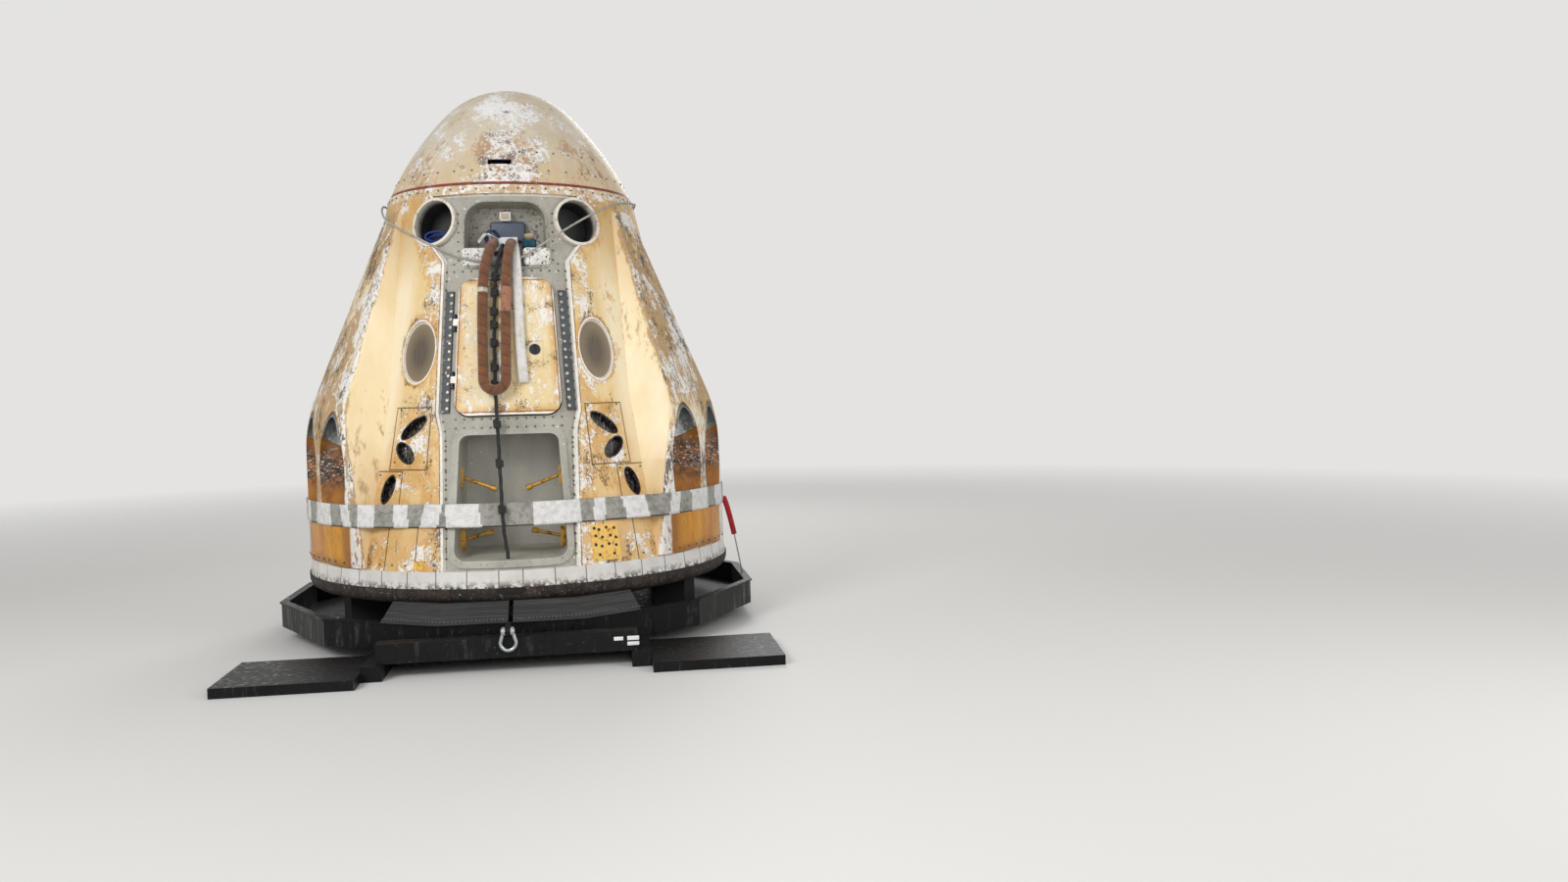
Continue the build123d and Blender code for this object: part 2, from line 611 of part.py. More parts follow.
# Docking ring with its guide petals
docking_top_h = ceiling_top_h + docking_rise
ring = revolved((tunnel_r, z_of(ceiling_top_h)), (tunnel_r + docking_wall, z_of(ceiling_top_h)),
                (tunnel_r + docking_wall, z_of(docking_top_h)), (tunnel_r, z_of(docking_top_h)))
petal_top_z = z_of(docking_top_h + petal_rise)
petal_ring = revolved((tunnel_r + petal_foot[0], z_of(docking_top_h)), (tunnel_r + petal_foot[1], z_of(docking_top_h)),
                      (tunnel_r + petal_top[1], petal_top_z), (tunnel_r + petal_top[0], petal_top_z))
for i in range(petal_count):
    reach = 900
    side_x = reach * tan(radians(petal_half_angle))
    wedge_face = make_face(Polyline((0, 0), (side_x, -reach), (-side_x, -reach), close=True).edges())
    sector = extrude(wedge_face, amount=z_of(seam_h + 2000))
    ring = ring + (petal_ring & (Rot(0, 0, i * 360 / petal_count) * sector))
keep("docking_ring", ring)

# Seats and console
seats = []
for x in seat_xs:
    back = Rot(seat_recline, 0, 0) * Box(seat_width, seat_back, seat_thick,
                                         align=(Align.CENTER, Align.MIN, Align.MIN))
    pan = Rot(seat_knee, 0, 0) * Pos(0, seat_lap, 0) * Box(seat_width, seat_length, seat_thick,
                                                           align=(Align.CENTER, Align.MAX, Align.MIN))
    post = Pos(0, post_size, post_sink) * Box(post_size, post_size, seat_h - floor_top_h + post_sink,
                                              align=(Align.CENTER, Align.CENTER, Align.MAX))
    seats.append(Pos(x, seat_y, z_of(seat_h)) * (back + pan + post))
keep("crew_seats", *seats)
console = Rot(-console_tilt, 0, 0) * Box(console_width, console_thick, console_height)
console = Pos(0, console_y, z_of(console_h)) * console
for side in (-1, 1):
    console = console + Pos(side * console_arm_x, console_y, z_of(console_h)) * Box(
        console_arm, console_arm, panel_top_h - console_h, align=(Align.CENTER, Align.CENTER, Align.MIN))
keep("display_console", console)

# Nose cone
nose_foot_h = seam_h + nose_gap
nose_foot = (seam_r - 8, z_of(nose_foot_h))
top_centre = (0, z_of(nose_top_h - nose_top_r))


def circles_meet(p, p_r, q, q_r):
    """The lower left meeting point of two circles."""
    dx, dz = q[0] - p[0], q[1] - p[1]
    d = sqrt(dx * dx + dz * dz)
    along = (p_r ** 2 - q_r ** 2 + d * d) / (2 * d)
    across = sqrt(p_r ** 2 - along ** 2)
    options = [(p[0] + (along * dx + s * across * dz) / d, p[1] + (along * dz - s * across * dx) / d)
               for s in (-1, 1)]
    return min(options, key=lambda option: option[1])


side_centre = circles_meet(nose_foot, nose_side_r, top_centre, nose_side_r - nose_top_r)


def nose_solid(inset):
    """The ogive inside the nose cone's outer face, this far under it."""
    side_r, top_r = nose_side_r - inset, nose_top_r - inset
    foot_r = side_centre[0] + sqrt(side_r ** 2 - (nose_foot[1] - side_centre[1]) ** 2)
    foot_angle = asin((nose_foot[1] - side_centre[1]) / side_r)
    join_angle = atan((top_centre[1] - side_centre[1]) / (top_centre[0] - side_centre[0]))

    def arc_point(centre, r, angle):
        return (centre[0] + r * cos(angle), centre[1] + r * sin(angle))
    join = arc_point(side_centre, side_r, join_angle)
    side_middle = arc_point(side_centre, side_r, (foot_angle + join_angle) / 2)
    quarter = radians(90)
    top_middle = arc_point(top_centre, top_r, (join_angle + quarter) / 2)
    top = arc_point(top_centre, top_r, quarter)
    with BuildPart() as turned:
        with BuildSketch(Plane.XZ):
            with BuildLine():
                ThreePointArc((foot_r, nose_foot[1]), side_middle, join)
                ThreePointArc(join, top_middle, top)
                Polyline(top, (0, nose_foot[1]), (foot_r, nose_foot[1]))
            make_face()
        revolve(axis=Axis.Z)
    return turned.part


nose_inner = nose_solid(nose_shell)
nose = nose_solid(0) - nose_inner
nose = nose - Pos(vent_x, -1100, z_of(vent_h)) * Box(vent_length, 600, vent_height)
nose_hinge = []
lug_foot = [              # distance outside the seam's radius, height over the seam
    (102, 95),
    (62, -70),
    (-60, -70),
    (6, -4),
    (26, 80),
]
for side in (-1, 1):
    here = Plane(origin=(side * nose_hinge_x, nose_hinge_y, z_of(nose_hinge_h)), x_dir=(0, 1, 0), z_dir=(1, 0, 0))
    reach = Box(nose_hinge_y - seam_r + nose_arm_root, nose_arm_height, nose_lug_width,
                align=(Align.MAX, Align.CENTER, Align.CENTER))
    arm = here * (Cylinder(nose_lug_r, nose_lug_width) + reach) - nose_inner
    nose = nose + arm - here * Cylinder(nose_pin_r + hinge_pin_play, nose_lug_width + 2)
    lug_width = nose_lug_width / 2
    lug_at = nose_lug_width / 2 + knuckle_gap + lug_width / 2
    hinge = here * Cylinder(nose_pin_r, 2 * lug_at + lug_width)
    for end in (-1, 1):
        lug_x = side * nose_hinge_x + end * lug_at - lug_width / 2
        plate = make_face(Polyline(*[(lug_x, seam_r + out, z_of(seam_h + rise)) for out, rise in lug_foot],
                                   close=True).edges())
        lug = extrude(plate, amount=lug_width, dir=(1, 0, 0))
        hinge = hinge + lug + here * Pos(0, 0, end * lug_at) * Cylinder(nose_lug_r, lug_width)
    nose_hinge.append(hinge - full_cone(ring_top_h, seam_h, 0))
keep("nose_cone", nose)
keep("nose_cone_hinge", *nose_hinge)

# Recovery nest
runner_half_length = nest_apothem + runner_reach
keep("nest_runners", *[Pos(side * runner_x, 0, 0) * Box(runner_width, 2 * runner_half_length, runner_height,
                                                      align=on_base) for side in (-1, 1)])


def nest_prism(foot_apothem, foot, top, top_apothem=None):
    """A block on the nest's outline, upright or narrowing upwards."""
    faces = []
    for level, apothem in ((foot, foot_apothem), (top, top_apothem or foot_apothem)):
        outline = RegularPolygon(apothem, nest_sides, major_radius=False, rotation=180 / nest_sides)
        faces.append(Plane.XY.offset(level) * outline)
    return loft(faces, ruled=True)


def front_sector(start, end):
    """A tall wedge between two azimuths off the front."""
    reach = 2 * nest_apothem
    corners = [(0, 0)] + [(reach * sin(radians(a)), -reach * cos(radians(a))) for a in (start, end)]
    return extrude(make_face(Polyline(*corners, close=True).edges()), amount=shoulder_z)


beam_rear_y = nest_apothem + beam_reach - beam_depth
porch = Pos(0, 0, runner_height) * Box(2 * beam_half_length, 2 * beam_rear_y, deck_plate, align=on_base)
deck = nest_prism(nest_apothem, runner_height, deck_z) + porch - Pos(0, 0, deck_z) * Cylinder(nest_hole_r, 200)
keep("nest_deck", deck)
inner_apothem = nest_apothem - nest_wall
ring_wall_prism = nest_prism(nest_apothem, deck_z, nest_rim_z)
flange = nest_prism(nest_apothem + nest_flange, nest_rim_z - nest_flange_thick, nest_rim_z)
keep("nest_ring", ring_wall_prism + flange - nest_prism(inner_apothem, deck_z, nest_rim_z))
beam = Pos(0, -beam_rear_y - beam_depth / 2, runner_height) * Box(2 * beam_half_length, beam_depth, beam_height,
                                                                  align=on_base)
keep("nest_front_beam", beam)
keep("nest_rear_beam", mirror(beam, about=Plane.XZ))
pads = []
for i in range(pad_count):
    block = Pos(0, pad_inset - shoulder_r, deck_z) * Box(pad_size, pad_size, pad_top_z - deck_z, align=on_base)
    pads.append(Rot(0, 0, (i + 0.5) * 360 / pad_count) * block - shield)
keep("nest_pads", *pads)

# Laminated bumper on the nest's front rim, and the shelf under its inner half
bumper_top_z = nest_rim_z + bumper_height
bumper = nest_prism(nest_apothem + bumper_foot_out, nest_rim_z, bumper_top_z, shoulder_r + bumper_top_out)
bumper = bumper - nest_prism(shoulder_r - bumper_in, nest_rim_z, bumper_top_z)
half_bumper = bumper & front_sector(bumper_split, bumper_half_span)
keep("nest_bumper", half_bumper, mirror(half_bumper, about=Plane.YZ))
shelf = nest_prism(inner_apothem, nest_rim_z - shelf_thick, nest_rim_z)
shelf = shelf - nest_prism(shoulder_r - bumper_in, nest_rim_z - shelf_thick, nest_rim_z)
keep("nest_bumper_shelf", shelf & front_sector(-bumper_half_span, bumper_half_span))
plates = []
for side in (-1, 1):
    for end in (-1, 1):
        plate_x = runner_x + runner_width / 2 + foot_plate_width / 2
        depth = foot_plate_ys[1] - foot_plate_ys[0]
        middle = (side * plate_x, end * (foot_plate_ys[0] + depth / 2), 0)
        plates.append(Pos(*middle) * Box(foot_plate_width, depth, foot_plate_thick, align=on_base))
keep("nest_foot_plates", *plates)

# Towing lugs on both beams, and the bow shackle in the front one
lug_z = runner_height + beam_height
eye_y = -(beam_rear_y + beam_depth + lug_out)
eye = Plane(origin=(0, eye_y, lug_z + lug_rise), x_dir=(0, 1, 0), z_dir=(1, 0, 0))
web = Pos(0, eye_y, lug_z) * Box(lug_thick, lug_out + beam_depth - lug_setback, lug_rise + lug_r,
                                 align=(Align.CENTER, Align.MIN, Align.MIN))
lug = web + eye * Cylinder(lug_r, lug_thick) - eye * Cylinder(lug_hole_r, lug_thick + 2)
keep("towing_lugs", lug, mirror(lug, about=Plane.XZ))
ear_x = lug_thick / 2 + shackle_play + shackle_ear / 2
bow_z = eye.origin.Z - shackle_drop
with BuildPart() as bow:
    with BuildSketch(Plane.XY):
        with Locations((shackle_bow_r, 0)):
            Circle(shackle_rod_r)
    revolve(axis=Axis.Y, revolution_arc=180)
bow = Pos(0, eye_y, bow_z) * bow.part
for side in (-1, 1):
    top = Vector(side * ear_x, eye_y, eye.origin.Z)
    elbow = Vector(side * shackle_bow_r, eye_y, bow_z)
    leg = Solid.make_cylinder(shackle_rod_r, (elbow - top).length, Plane(origin=top, z_dir=elbow - top))
    bow = bow + leg + Pos(elbow) * Sphere(shackle_rod_r)
shackle = bow + eye * Cylinder(lug_hole_r - 0.5, 2 * (ear_x + shackle_pin_end) + shackle_ear)
for side in (-1, 1):
    shackle = shackle + eye * Pos(0, 0, side * ear_x) * Cylinder(shackle_ear_r, shackle_ear)
keep("bow_shackle", shackle)

# Belt round the capsule and its pods
def pod_edge_angle(h):
    """Half angle of a pod's outer corner, where its flank meets the outer face."""
    low, high = pod_sections[0], pod_sections[1]
    share = (h - low[0]) / (high[0] - low[0])
    inner, outer = [a + (b - a) * share for a, b in zip(pod_flank(*low), pod_flank(*high))]
    across, ahead = inner.X, -inner.Y
    way = Vector(outer.X - inner.X, inner.Y - outer.Y, 0).normalized()
    half_b = across * way.X + ahead * way.Y
    step = -half_b + sqrt(half_b ** 2 - (across ** 2 + ahead ** 2 - pod_r ** 2))
    return degrees(asin((across + step * way.X) / pod_r))


def belt_hull(h, grow):
    """The taut outline round the skin and the four pods at one height."""
    radius = skin_r(h) + grow
    with BuildSketch(Plane.XY.offset(z_of(h))) as hull:
        with BuildLine() as edges:
            CenterArc((0, 0), radius, 0, 360)
            for azimuth in (pod_azimuth, -pod_azimuth, 180 - pod_azimuth, 180 + pod_azimuth):
                edge = pod_edge_angle(h)
                CenterArc((0, 0), pod_r + grow, azimuth - 90 - edge, 2 * edge)
        make_hull(edges.edges())
    return hull.sketch.faces()[0]


def belt_block(grow):
    return loft([belt_hull(h, grow) for h in (belt_foot_h, belt_top_h)], ruled=True)


keep("belt", belt_block(belt_stand + belt_thick) - belt_block(belt_stand))

# Clamp arms on the bay's side walls
bay_space = bay_block(0)
arms = []
for side in (-1, 1):
    for plate_h, tip_x, tip_h in clamp_rows:
        base = Vector(side * (bay_top_half - clamp_root), clamp_y, z_of(plate_h))
        tip = Vector(side * tip_x, clamp_y - clamp_forward, z_of(tip_h))
        bar = Solid.make_cylinder(clamp_rod_r, (tip - base).length, Plane(origin=base, z_dir=tip - base))
        plate = Pos(side * bay_foot_half, clamp_y, z_of(plate_h)) * Box(*clamp_plate)
        pad = Plane(origin=tip, z_dir=tip - base) * Cylinder(clamp_pad_r, clamp_pad_length)
        arms.append((plate + bar + pad) & bay_space)
keep("bay_clamp_arms", *arms)

# Riser fitting on the alcove's back wall
fitting_depth = alcove_back_y - fitting_front_y + wall
fitting = Box(fitting_width, fitting_depth, fitting_height, align=(Align.CENTER, Align.MIN, Align.CENTER))
keep("riser_fitting", (Pos(fitting_x, fitting_front_y, z_of(fitting_h)) * fitting) & alcove_block(0))


def cord_tube(points, radius, label):
    """A tube along straight runs joined by tangent arcs, each as large as its runs allow."""
    spots = [Vector(*p) for p in points]
    radii = []
    for before, here, after in zip(spots, spots[1:], spots[2:]):
        turn = (here - before).get_angle(after - here)
        radii.append(0.45 * min((here - before).length, (after - here).length) / tan(radians(turn / 2)))
    path = FilletPolyline(*spots, radius=radii)
    tube = sweep(Plane(origin=path @ 0, z_dir=path % 0) * Circle(radius), path=path)
    length = sum(edge.length for edge in path.edges())
    print(label, "length", round(length), "smallest radius", round(min(radii)),
          "volume over section times length", round(tube.volume / (pi * radius ** 2 * length), 4))
    return tube


keep("lifting_strop", cord_tube(strop_route, strop_r, "lifting_strop"))
keep("knotted_rope", cord_tube(rope_route, rope_r, "knotted_rope"))
line_route = [around(skin_r(h) + out, azimuth, z_of(h)) for azimuth, h, out in line_rear]
line_route += [Vector(*p) for p in line_front]
keep("tag_line", cord_tube([(p.X, p.Y, p.Z) for p in line_route], line_r, "tag_line"))

for name, solids in pieces.items():
    shape = solids[0] if len(solids) == 1 else Compound(children=solids)
    export_step(shape, f"parts/{name}.step")
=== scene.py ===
import math
import random
import bmesh
import bpy
from mathutils import Matrix, Vector


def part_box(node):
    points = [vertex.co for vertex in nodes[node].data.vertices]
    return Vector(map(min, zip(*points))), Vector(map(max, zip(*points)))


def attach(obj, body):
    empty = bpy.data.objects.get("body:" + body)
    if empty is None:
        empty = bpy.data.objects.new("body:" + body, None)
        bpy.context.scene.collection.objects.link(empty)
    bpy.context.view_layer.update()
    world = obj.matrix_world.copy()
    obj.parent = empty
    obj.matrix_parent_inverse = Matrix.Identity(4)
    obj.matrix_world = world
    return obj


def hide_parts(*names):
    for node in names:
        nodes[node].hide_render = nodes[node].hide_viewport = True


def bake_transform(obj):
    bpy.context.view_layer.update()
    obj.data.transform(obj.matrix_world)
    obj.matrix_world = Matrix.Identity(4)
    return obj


# Looks of a crew capsule after landing, in its black steel nest. Metres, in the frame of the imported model.

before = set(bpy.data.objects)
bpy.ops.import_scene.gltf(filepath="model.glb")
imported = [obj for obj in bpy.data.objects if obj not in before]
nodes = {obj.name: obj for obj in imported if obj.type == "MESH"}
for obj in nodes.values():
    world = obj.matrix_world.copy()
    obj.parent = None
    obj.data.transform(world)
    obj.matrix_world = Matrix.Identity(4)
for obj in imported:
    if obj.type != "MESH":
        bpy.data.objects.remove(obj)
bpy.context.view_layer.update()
bpy.ops.object.select_all(action="DESELECT")
draw = random.Random(7)
print("frame loaded")

# The capsule's cone, read from the nodes that show it
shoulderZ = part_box("shoulder_ring")[0].z
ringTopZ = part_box("shoulder_ring")[1].z
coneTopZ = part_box("upper_ring")[0].z
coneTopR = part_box("upper_ring")[1].x
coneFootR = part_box("front_right_panel")[1].x

# Tones of the scorched coating, sRGB
tones = {"white": "ebe6de", "cream": "e6cb93", "warm": "dcb772", "pale": "f4e6c6", "amber": "c78f3c",
         "deepAmber": "9c5f1b", "brown": "6a4a30", "dark": "33251b", "tan": "bf9a63", "worn": "a98559",
         "soot": "4f4034"}


def zOf(height):
    return shoulderZ + height


def skinR(z):
    return coneFootR + (coneTopR - coneFootR) * (z - ringTopZ) / (coneTopZ - ringTopZ)


def around(radius, azimuth, z):  # azimuth in degrees off the front, towards +X
    angle = math.radians(azimuth)
    return Vector((radius * math.sin(angle), -radius * math.cos(angle), z))


def linear(colour):  # a tone's name or an sRGB hex to the linear colour that sockets take
    hexColour = tones.get(colour, colour)
    parts = [int(hexColour[i:i + 2], 16) / 255 for i in (0, 2, 4)]
    return tuple(c / 12.92 if c <= 0.04045 else ((c + 0.055) / 1.055) ** 2.4 for c in parts) + (1.0,)


# Camera as in the photograph: 28 mm lens, 12.3 m in front of the hatch and a little to its right
view = {"imageWidth": 1600, "focalPixels": 1242.0, "place": (0.761, -12.324, 2.225),
        "panRight": 8.66, "pitchDown": 2.60, "roll": 1.47}


def makeCamera():
    data = bpy.data.cameras.new("camera")
    data.sensor_width = 36
    data.lens = view["focalPixels"] / view["imageWidth"] * data.sensor_width
    camera = bpy.data.objects.new("camera", data)
    bpy.context.collection.objects.link(camera)
    aim = Matrix.Rotation(-math.radians(view["panRight"]), 4, "Z")
    aim = aim @ Matrix.Rotation(math.radians(90 - view["pitchDown"]), 4, "X")
    aim = aim @ Matrix.Rotation(-math.radians(view["roll"]), 4, "Z")
    camera.matrix_world = Matrix.Translation(view["place"]) @ aim
    data.clip_end = 200
    bpy.context.scene.camera = camera


def newMaterial(name):  # the nodes added next go into its tree; returns the place on the object
    global material, tree
    material = bpy.data.materials.new(name)
    material.use_nodes = True
    tree = material.node_tree
    return addNode("TexCoord", out=3)


def plug(node, key, value):  # link a socket to an input, or set it
    if isinstance(value, bpy.types.NodeSocket):
        tree.links.new(value, node.inputs[key])
    else:
        node.inputs[key].default_value = linear(value) if isinstance(value, str) else value


def addNode(kind, inputs=(), out=0, **settings):
    node = tree.nodes.new("ShaderNode" + kind)
    for name, value in settings.items():
        setattr(node, name, value)
    for key, value in dict(inputs).items():
        plug(node, key, value)
    return node.outputs[out]


# Studio: pale floor, even pale world and soft lamps
studio = {"floorColour": "dcdbd8", "floorRadius": 45.0, "fadeFrom": 7.0, "fadeTo": 22.0,
          "worldColour": "ffffff", "worldStrength": 0.42, "backdrop": "e4e3e1"}
lamps = [  # name, place, what it points at, width, watts
    ("keyLamp", (-6.5, -10.5, 8.0), (0, 0, 2.4), 5.0, 790),
    ("fillLamp", (8.5, -8.0, 5.0), (0, 0, 2.2), 6.0, 300),
    ("rimLamp", (3.0, 10.0, 8.5), (0, 0, 2.8), 5.0, 480),
    ("lowLamp", (1.5, -11.0, 3.4), (0, 0, 1.6), 2.5, 90),
]


def makeStudio():
    global tree
    place = newMaterial("paleStudioFloor")
    shader = tree.nodes["Principled BSDF"]
    plug(shader, "Base Color", studio["floorColour"])
    plug(shader, "Roughness", 0.7)
    across = addNode("VectorMath", {0: place}, out=1, operation="LENGTH")
    fading = addNode("MapRange", {0: across, 1: studio["fadeFrom"], 2: studio["fadeTo"]})
    mixed = addNode("MixShader", {0: fading, 1: shader.outputs[0], 2: addNode("BsdfTransparent")})
    plug(tree.nodes["Material Output"], "Surface", mixed)
    bpy.ops.mesh.primitive_circle_add(vertices=96, radius=studio["floorRadius"], fill_type="NGON")
    floor = bpy.context.object
    floor.name = "studio_floor"
    floor.data.materials.append(material)
    for name, place, target, width, watts in lamps:
        data = bpy.data.lights.new(name, "AREA")
        data.shape, data.size, data.energy = "DISK", width, watts
        lamp = bpy.data.objects.new(name, data)
        bpy.context.collection.objects.link(lamp)
        lamp.location = place
        lamp.rotation_euler = (Vector(target) - Vector(place)).to_track_quat("-Z", "Y").to_euler()
    world = bpy.data.worlds.new("studioWorld")
    bpy.context.scene.world = world
    world.use_nodes = True
    tree = world.node_tree
    tree.nodes.clear()
    path = addNode("LightPath").node.outputs
    seen = join(path["Is Camera Ray"], path["Is Glossy Ray"], path["Is Transmission Ray"])
    light = addNode("Background", {0: studio["worldColour"], 1: studio["worldStrength"]})
    shown = addNode("Background", {0: studio["backdrop"], 1: 1.0})
    mixed = addNode("MixShader", {0: seen, 1: light, 2: shown})
    plug(tree.nodes.new("ShaderNodeOutputWorld"), 0, mixed)
    bpy.context.scene.view_settings.view_transform = "Standard"


# Masks. Object coordinates are metres in the model's frame, so each mark sits where the real one does.
def fade(value, start, end, low=0.0, high=1.0):  # low at start, high at end
    return addNode("MapRange", {0: value, 1: start, 2: end, 3: low, 4: high})


def combined(operation, first, *others):  # one sum worked through the values in turn
    for other in others:
        first = addNode("Math", {0: first, 1: other}, operation=operation)
    return first


def overlap(*masks):  # where all the masks are
    return combined("MULTIPLY", *masks)


def join(*masks):  # where any of the masks is
    return combined("MAXIMUM", *masks)


def less(value, *others):
    return combined("SUBTRACT", value, *others)


def band(value, low, high, soft):  # 1 between low and high, fading over soft at both ends
    return overlap(fade(value, low - soft, low + soft), fade(value, high - soft, high + soft, 1.0, 0.0))


def axesOf(place):
    return addNode("SeparateXYZ", {0: place}).node.outputs


def lengthAlong(place, way, start=(0, 0, 0)):  # how far a place lies along a way from a start
    offset = addNode("VectorMath", {0: place, 1: start}, operation="SUBTRACT")
    return addNode("VectorMath", {0: offset, 1: way}, out=1, operation="DOT_PRODUCT")


def nearPoint(place, point, inner, outer):  # 1 within inner of a point, 0 beyond outer
    gap = addNode("VectorMath", {0: place, 1: point}, out=1, operation="DISTANCE")
    return fade(gap, inner, outer, 1.0, 0.0)


def drawnOut(place, x, y, z):  # a place scaled, so that marks run along an axis
    return addNode("Mapping", {0: place, 3: (x, y, z)})


def flakes(place, grain, cover, soft=0.035, detail=6.0):  # patches grain metres wide over this share of it
    noise = addNode("TexNoise", {"Vector": place, "Scale": 1 / grain, "Detail": detail, "Roughness": 0.68})
    edge = 0.5 + (0.5 - cover) * 0.42
    return fade(noise, edge - soft, edge + soft)


def flaking(place, zone, grain, patch, cover, soft=0.02):  # ragged clusters, patch wide, where zone is 1
    wide = addNode("TexNoise", {"Vector": place, "Scale": 1 / patch, "Detail": 5.0, "Roughness": 0.6})
    fine = addNode("TexNoise", {"Vector": place, "Scale": 1 / grain, "Detail": 9.0, "Roughness": 0.72})
    total = combined("ADD", fine, overlap(wide, 1.1), overlap(zone, 0.4))
    edge = 1.45 + (0.5 - cover) * 0.5
    return fade(total, edge - soft, edge + soft)


def waves(place, across, distortion, way):  # across is the metres from crest to crest
    inputs = {"Vector": place, "Scale": 0.314 / across, "Distortion": distortion}
    return addNode("TexWave", inputs, out=1, bands_direction=way)


def painted(colour, *coats):  # coats over a colour: each a tone and the masks that bound it
    for tone, *masks in coats:
        colour = addNode("Mix", {0: overlap(*masks), 6: colour, 7: tone}, out=2, data_type="RGBA")
    return colour


def finished(colour, roughness, heights, depth, strength, **others):  # with colour, gloss and relief
    bump = addNode("Bump", {"Height": heights, "Distance": depth, "Strength": strength})
    levels = {"Base Color": colour, "Roughness": roughness, "Normal": bump,
              "Metallic": others.get("metallic", 0.0), "Specular IOR Level": others.get("specular", 0.5),
              "Sheen Weight": others.get("sheen", 0.0)}
    for key, value in levels.items():
        plug(tree.nodes["Principled BSDF"], key, value)
    return material


makeCamera()
makeStudio()
print("camera and studio made")

# Where the marks on the skin are
thrusterExits = [(29.1, 1.344), (31.2, 1.127), (35.6, 0.818)]  # azimuth and height
windowGlass = {"azimuth": 30.5, "height": 2.000, "halfWidth": 0.165, "halfLength": 0.277}
jointFrames = [  # azimuth, height, half width and half height of the joint round a group of exits
    (29.8, 1.250, 0.185, 0.265),
    (36.0, 0.812, 0.150, 0.158),
]
frameEdge = [  # height, half width of the grey frame
    (0.0, 0.560), (1.29, 0.560), (1.46, 0.594), (2.79, 0.5315), (2.95, 0.640), (3.6, 0.640)]
hatch = {"foot": 1.44, "top": 2.64, "halfFoot": 0.470, "halfTop": 0.4075, "latchX": 0.238, "latchHeight": 2.0}
scoop = {"podAzimuth": 59.5, "aside": 7.8, "height": 1.390, "depth": 0.135, "podR": 1.990, "radius": 0.140,
         "flare": 12.5, "tilt": 28.0}
fold = Vector((1, -1, 1))


def foldedOf(place):  # a place folded to one quarter
    return addNode("VectorMath", {0: place}, operation="ABSOLUTE")


def azimuthOf(folded):  # degrees off the nearer of front and rear
    return addNode("Math", {0: combined("ARCTAN2", *axesOf(folded)[:2])}, operation="DEGREES")


def heightOf(place):
    return less(axesOf(place)[2], shoulderZ)


def depthIn(place):  # how far a place is inside the skin's cone
    radius = addNode("VectorMath", {0: drawnOut(place, 1, 1, 0)}, out=1, operation="LENGTH")
    return less(fade(axesOf(place)[2], ringTopZ, coneTopZ, coneFootR, coneTopR), radius)


def quarterPoint(azimuth, height):
    return around(skinR(zOf(height)), azimuth, zOf(height)) * fold


def ovalGap(folded):  # distance from the window's middle, 1 at its rim
    spot = windowGlass["azimuth"]
    slope = math.atan2(coneFootR - coneTopR, coneTopZ - ringTopZ)
    middle = quarterPoint(spot, windowGlass["height"])
    parts = []
    upSkin = around(-math.sin(slope), spot, math.cos(slope))
    for way, half in ((around(1, spot + 90, 0), "halfWidth"), (upSkin, "halfLength")):
        parts.append(combined("POWER", lengthAlong(folded, way * fold / windowGlass[half], middle), 2.0))
    return addNode("Math", {0: combined("ADD", *parts)}, operation="SQRT")


def edgeOfFrame(folded, height):  # distance outside the grey frame's edge
    top = frameEdge[-1][0]
    half = addNode("ValToRGB", {0: fade(height, 0.0, top)})
    stops = half.node.color_ramp.elements
    while len(stops) < len(frameEdge):
        stops.new(0.5)
    for stop, (at, width) in zip(stops, frameEdge):
        stop.position, stop.color = at / top, (width, width, width, 1)
    return less(axesOf(folded)[0], addNode("SeparateColor", {0: half}))


def troughMask(folded, side):  # 1 on and inside a scoop's cone
    azimuth, tilt = scoop["podAzimuth"] + side * scoop["aside"], math.radians(scoop["tilt"])
    mouth = around(scoop["podR"] - scoop["depth"], azimuth, zOf(scoop["height"])) * fold
    way = around(math.sin(tilt), azimuth, -math.cos(tilt)) * fold
    offset = addNode("VectorMath", {0: folded, 1: mouth}, operation="SUBTRACT")
    gap = addNode("VectorMath", {0: offset, 1: way}, operation="CROSS_PRODUCT")
    gap = addNode("VectorMath", {0: gap}, out=1, operation="LENGTH")
    widening = math.tan(math.radians(scoop["flare"]))
    rim = combined("ADD", overlap(lengthAlong(offset, way), widening), scoop["radius"])
    return fade(less(gap, rim), 0.010, 0.003)


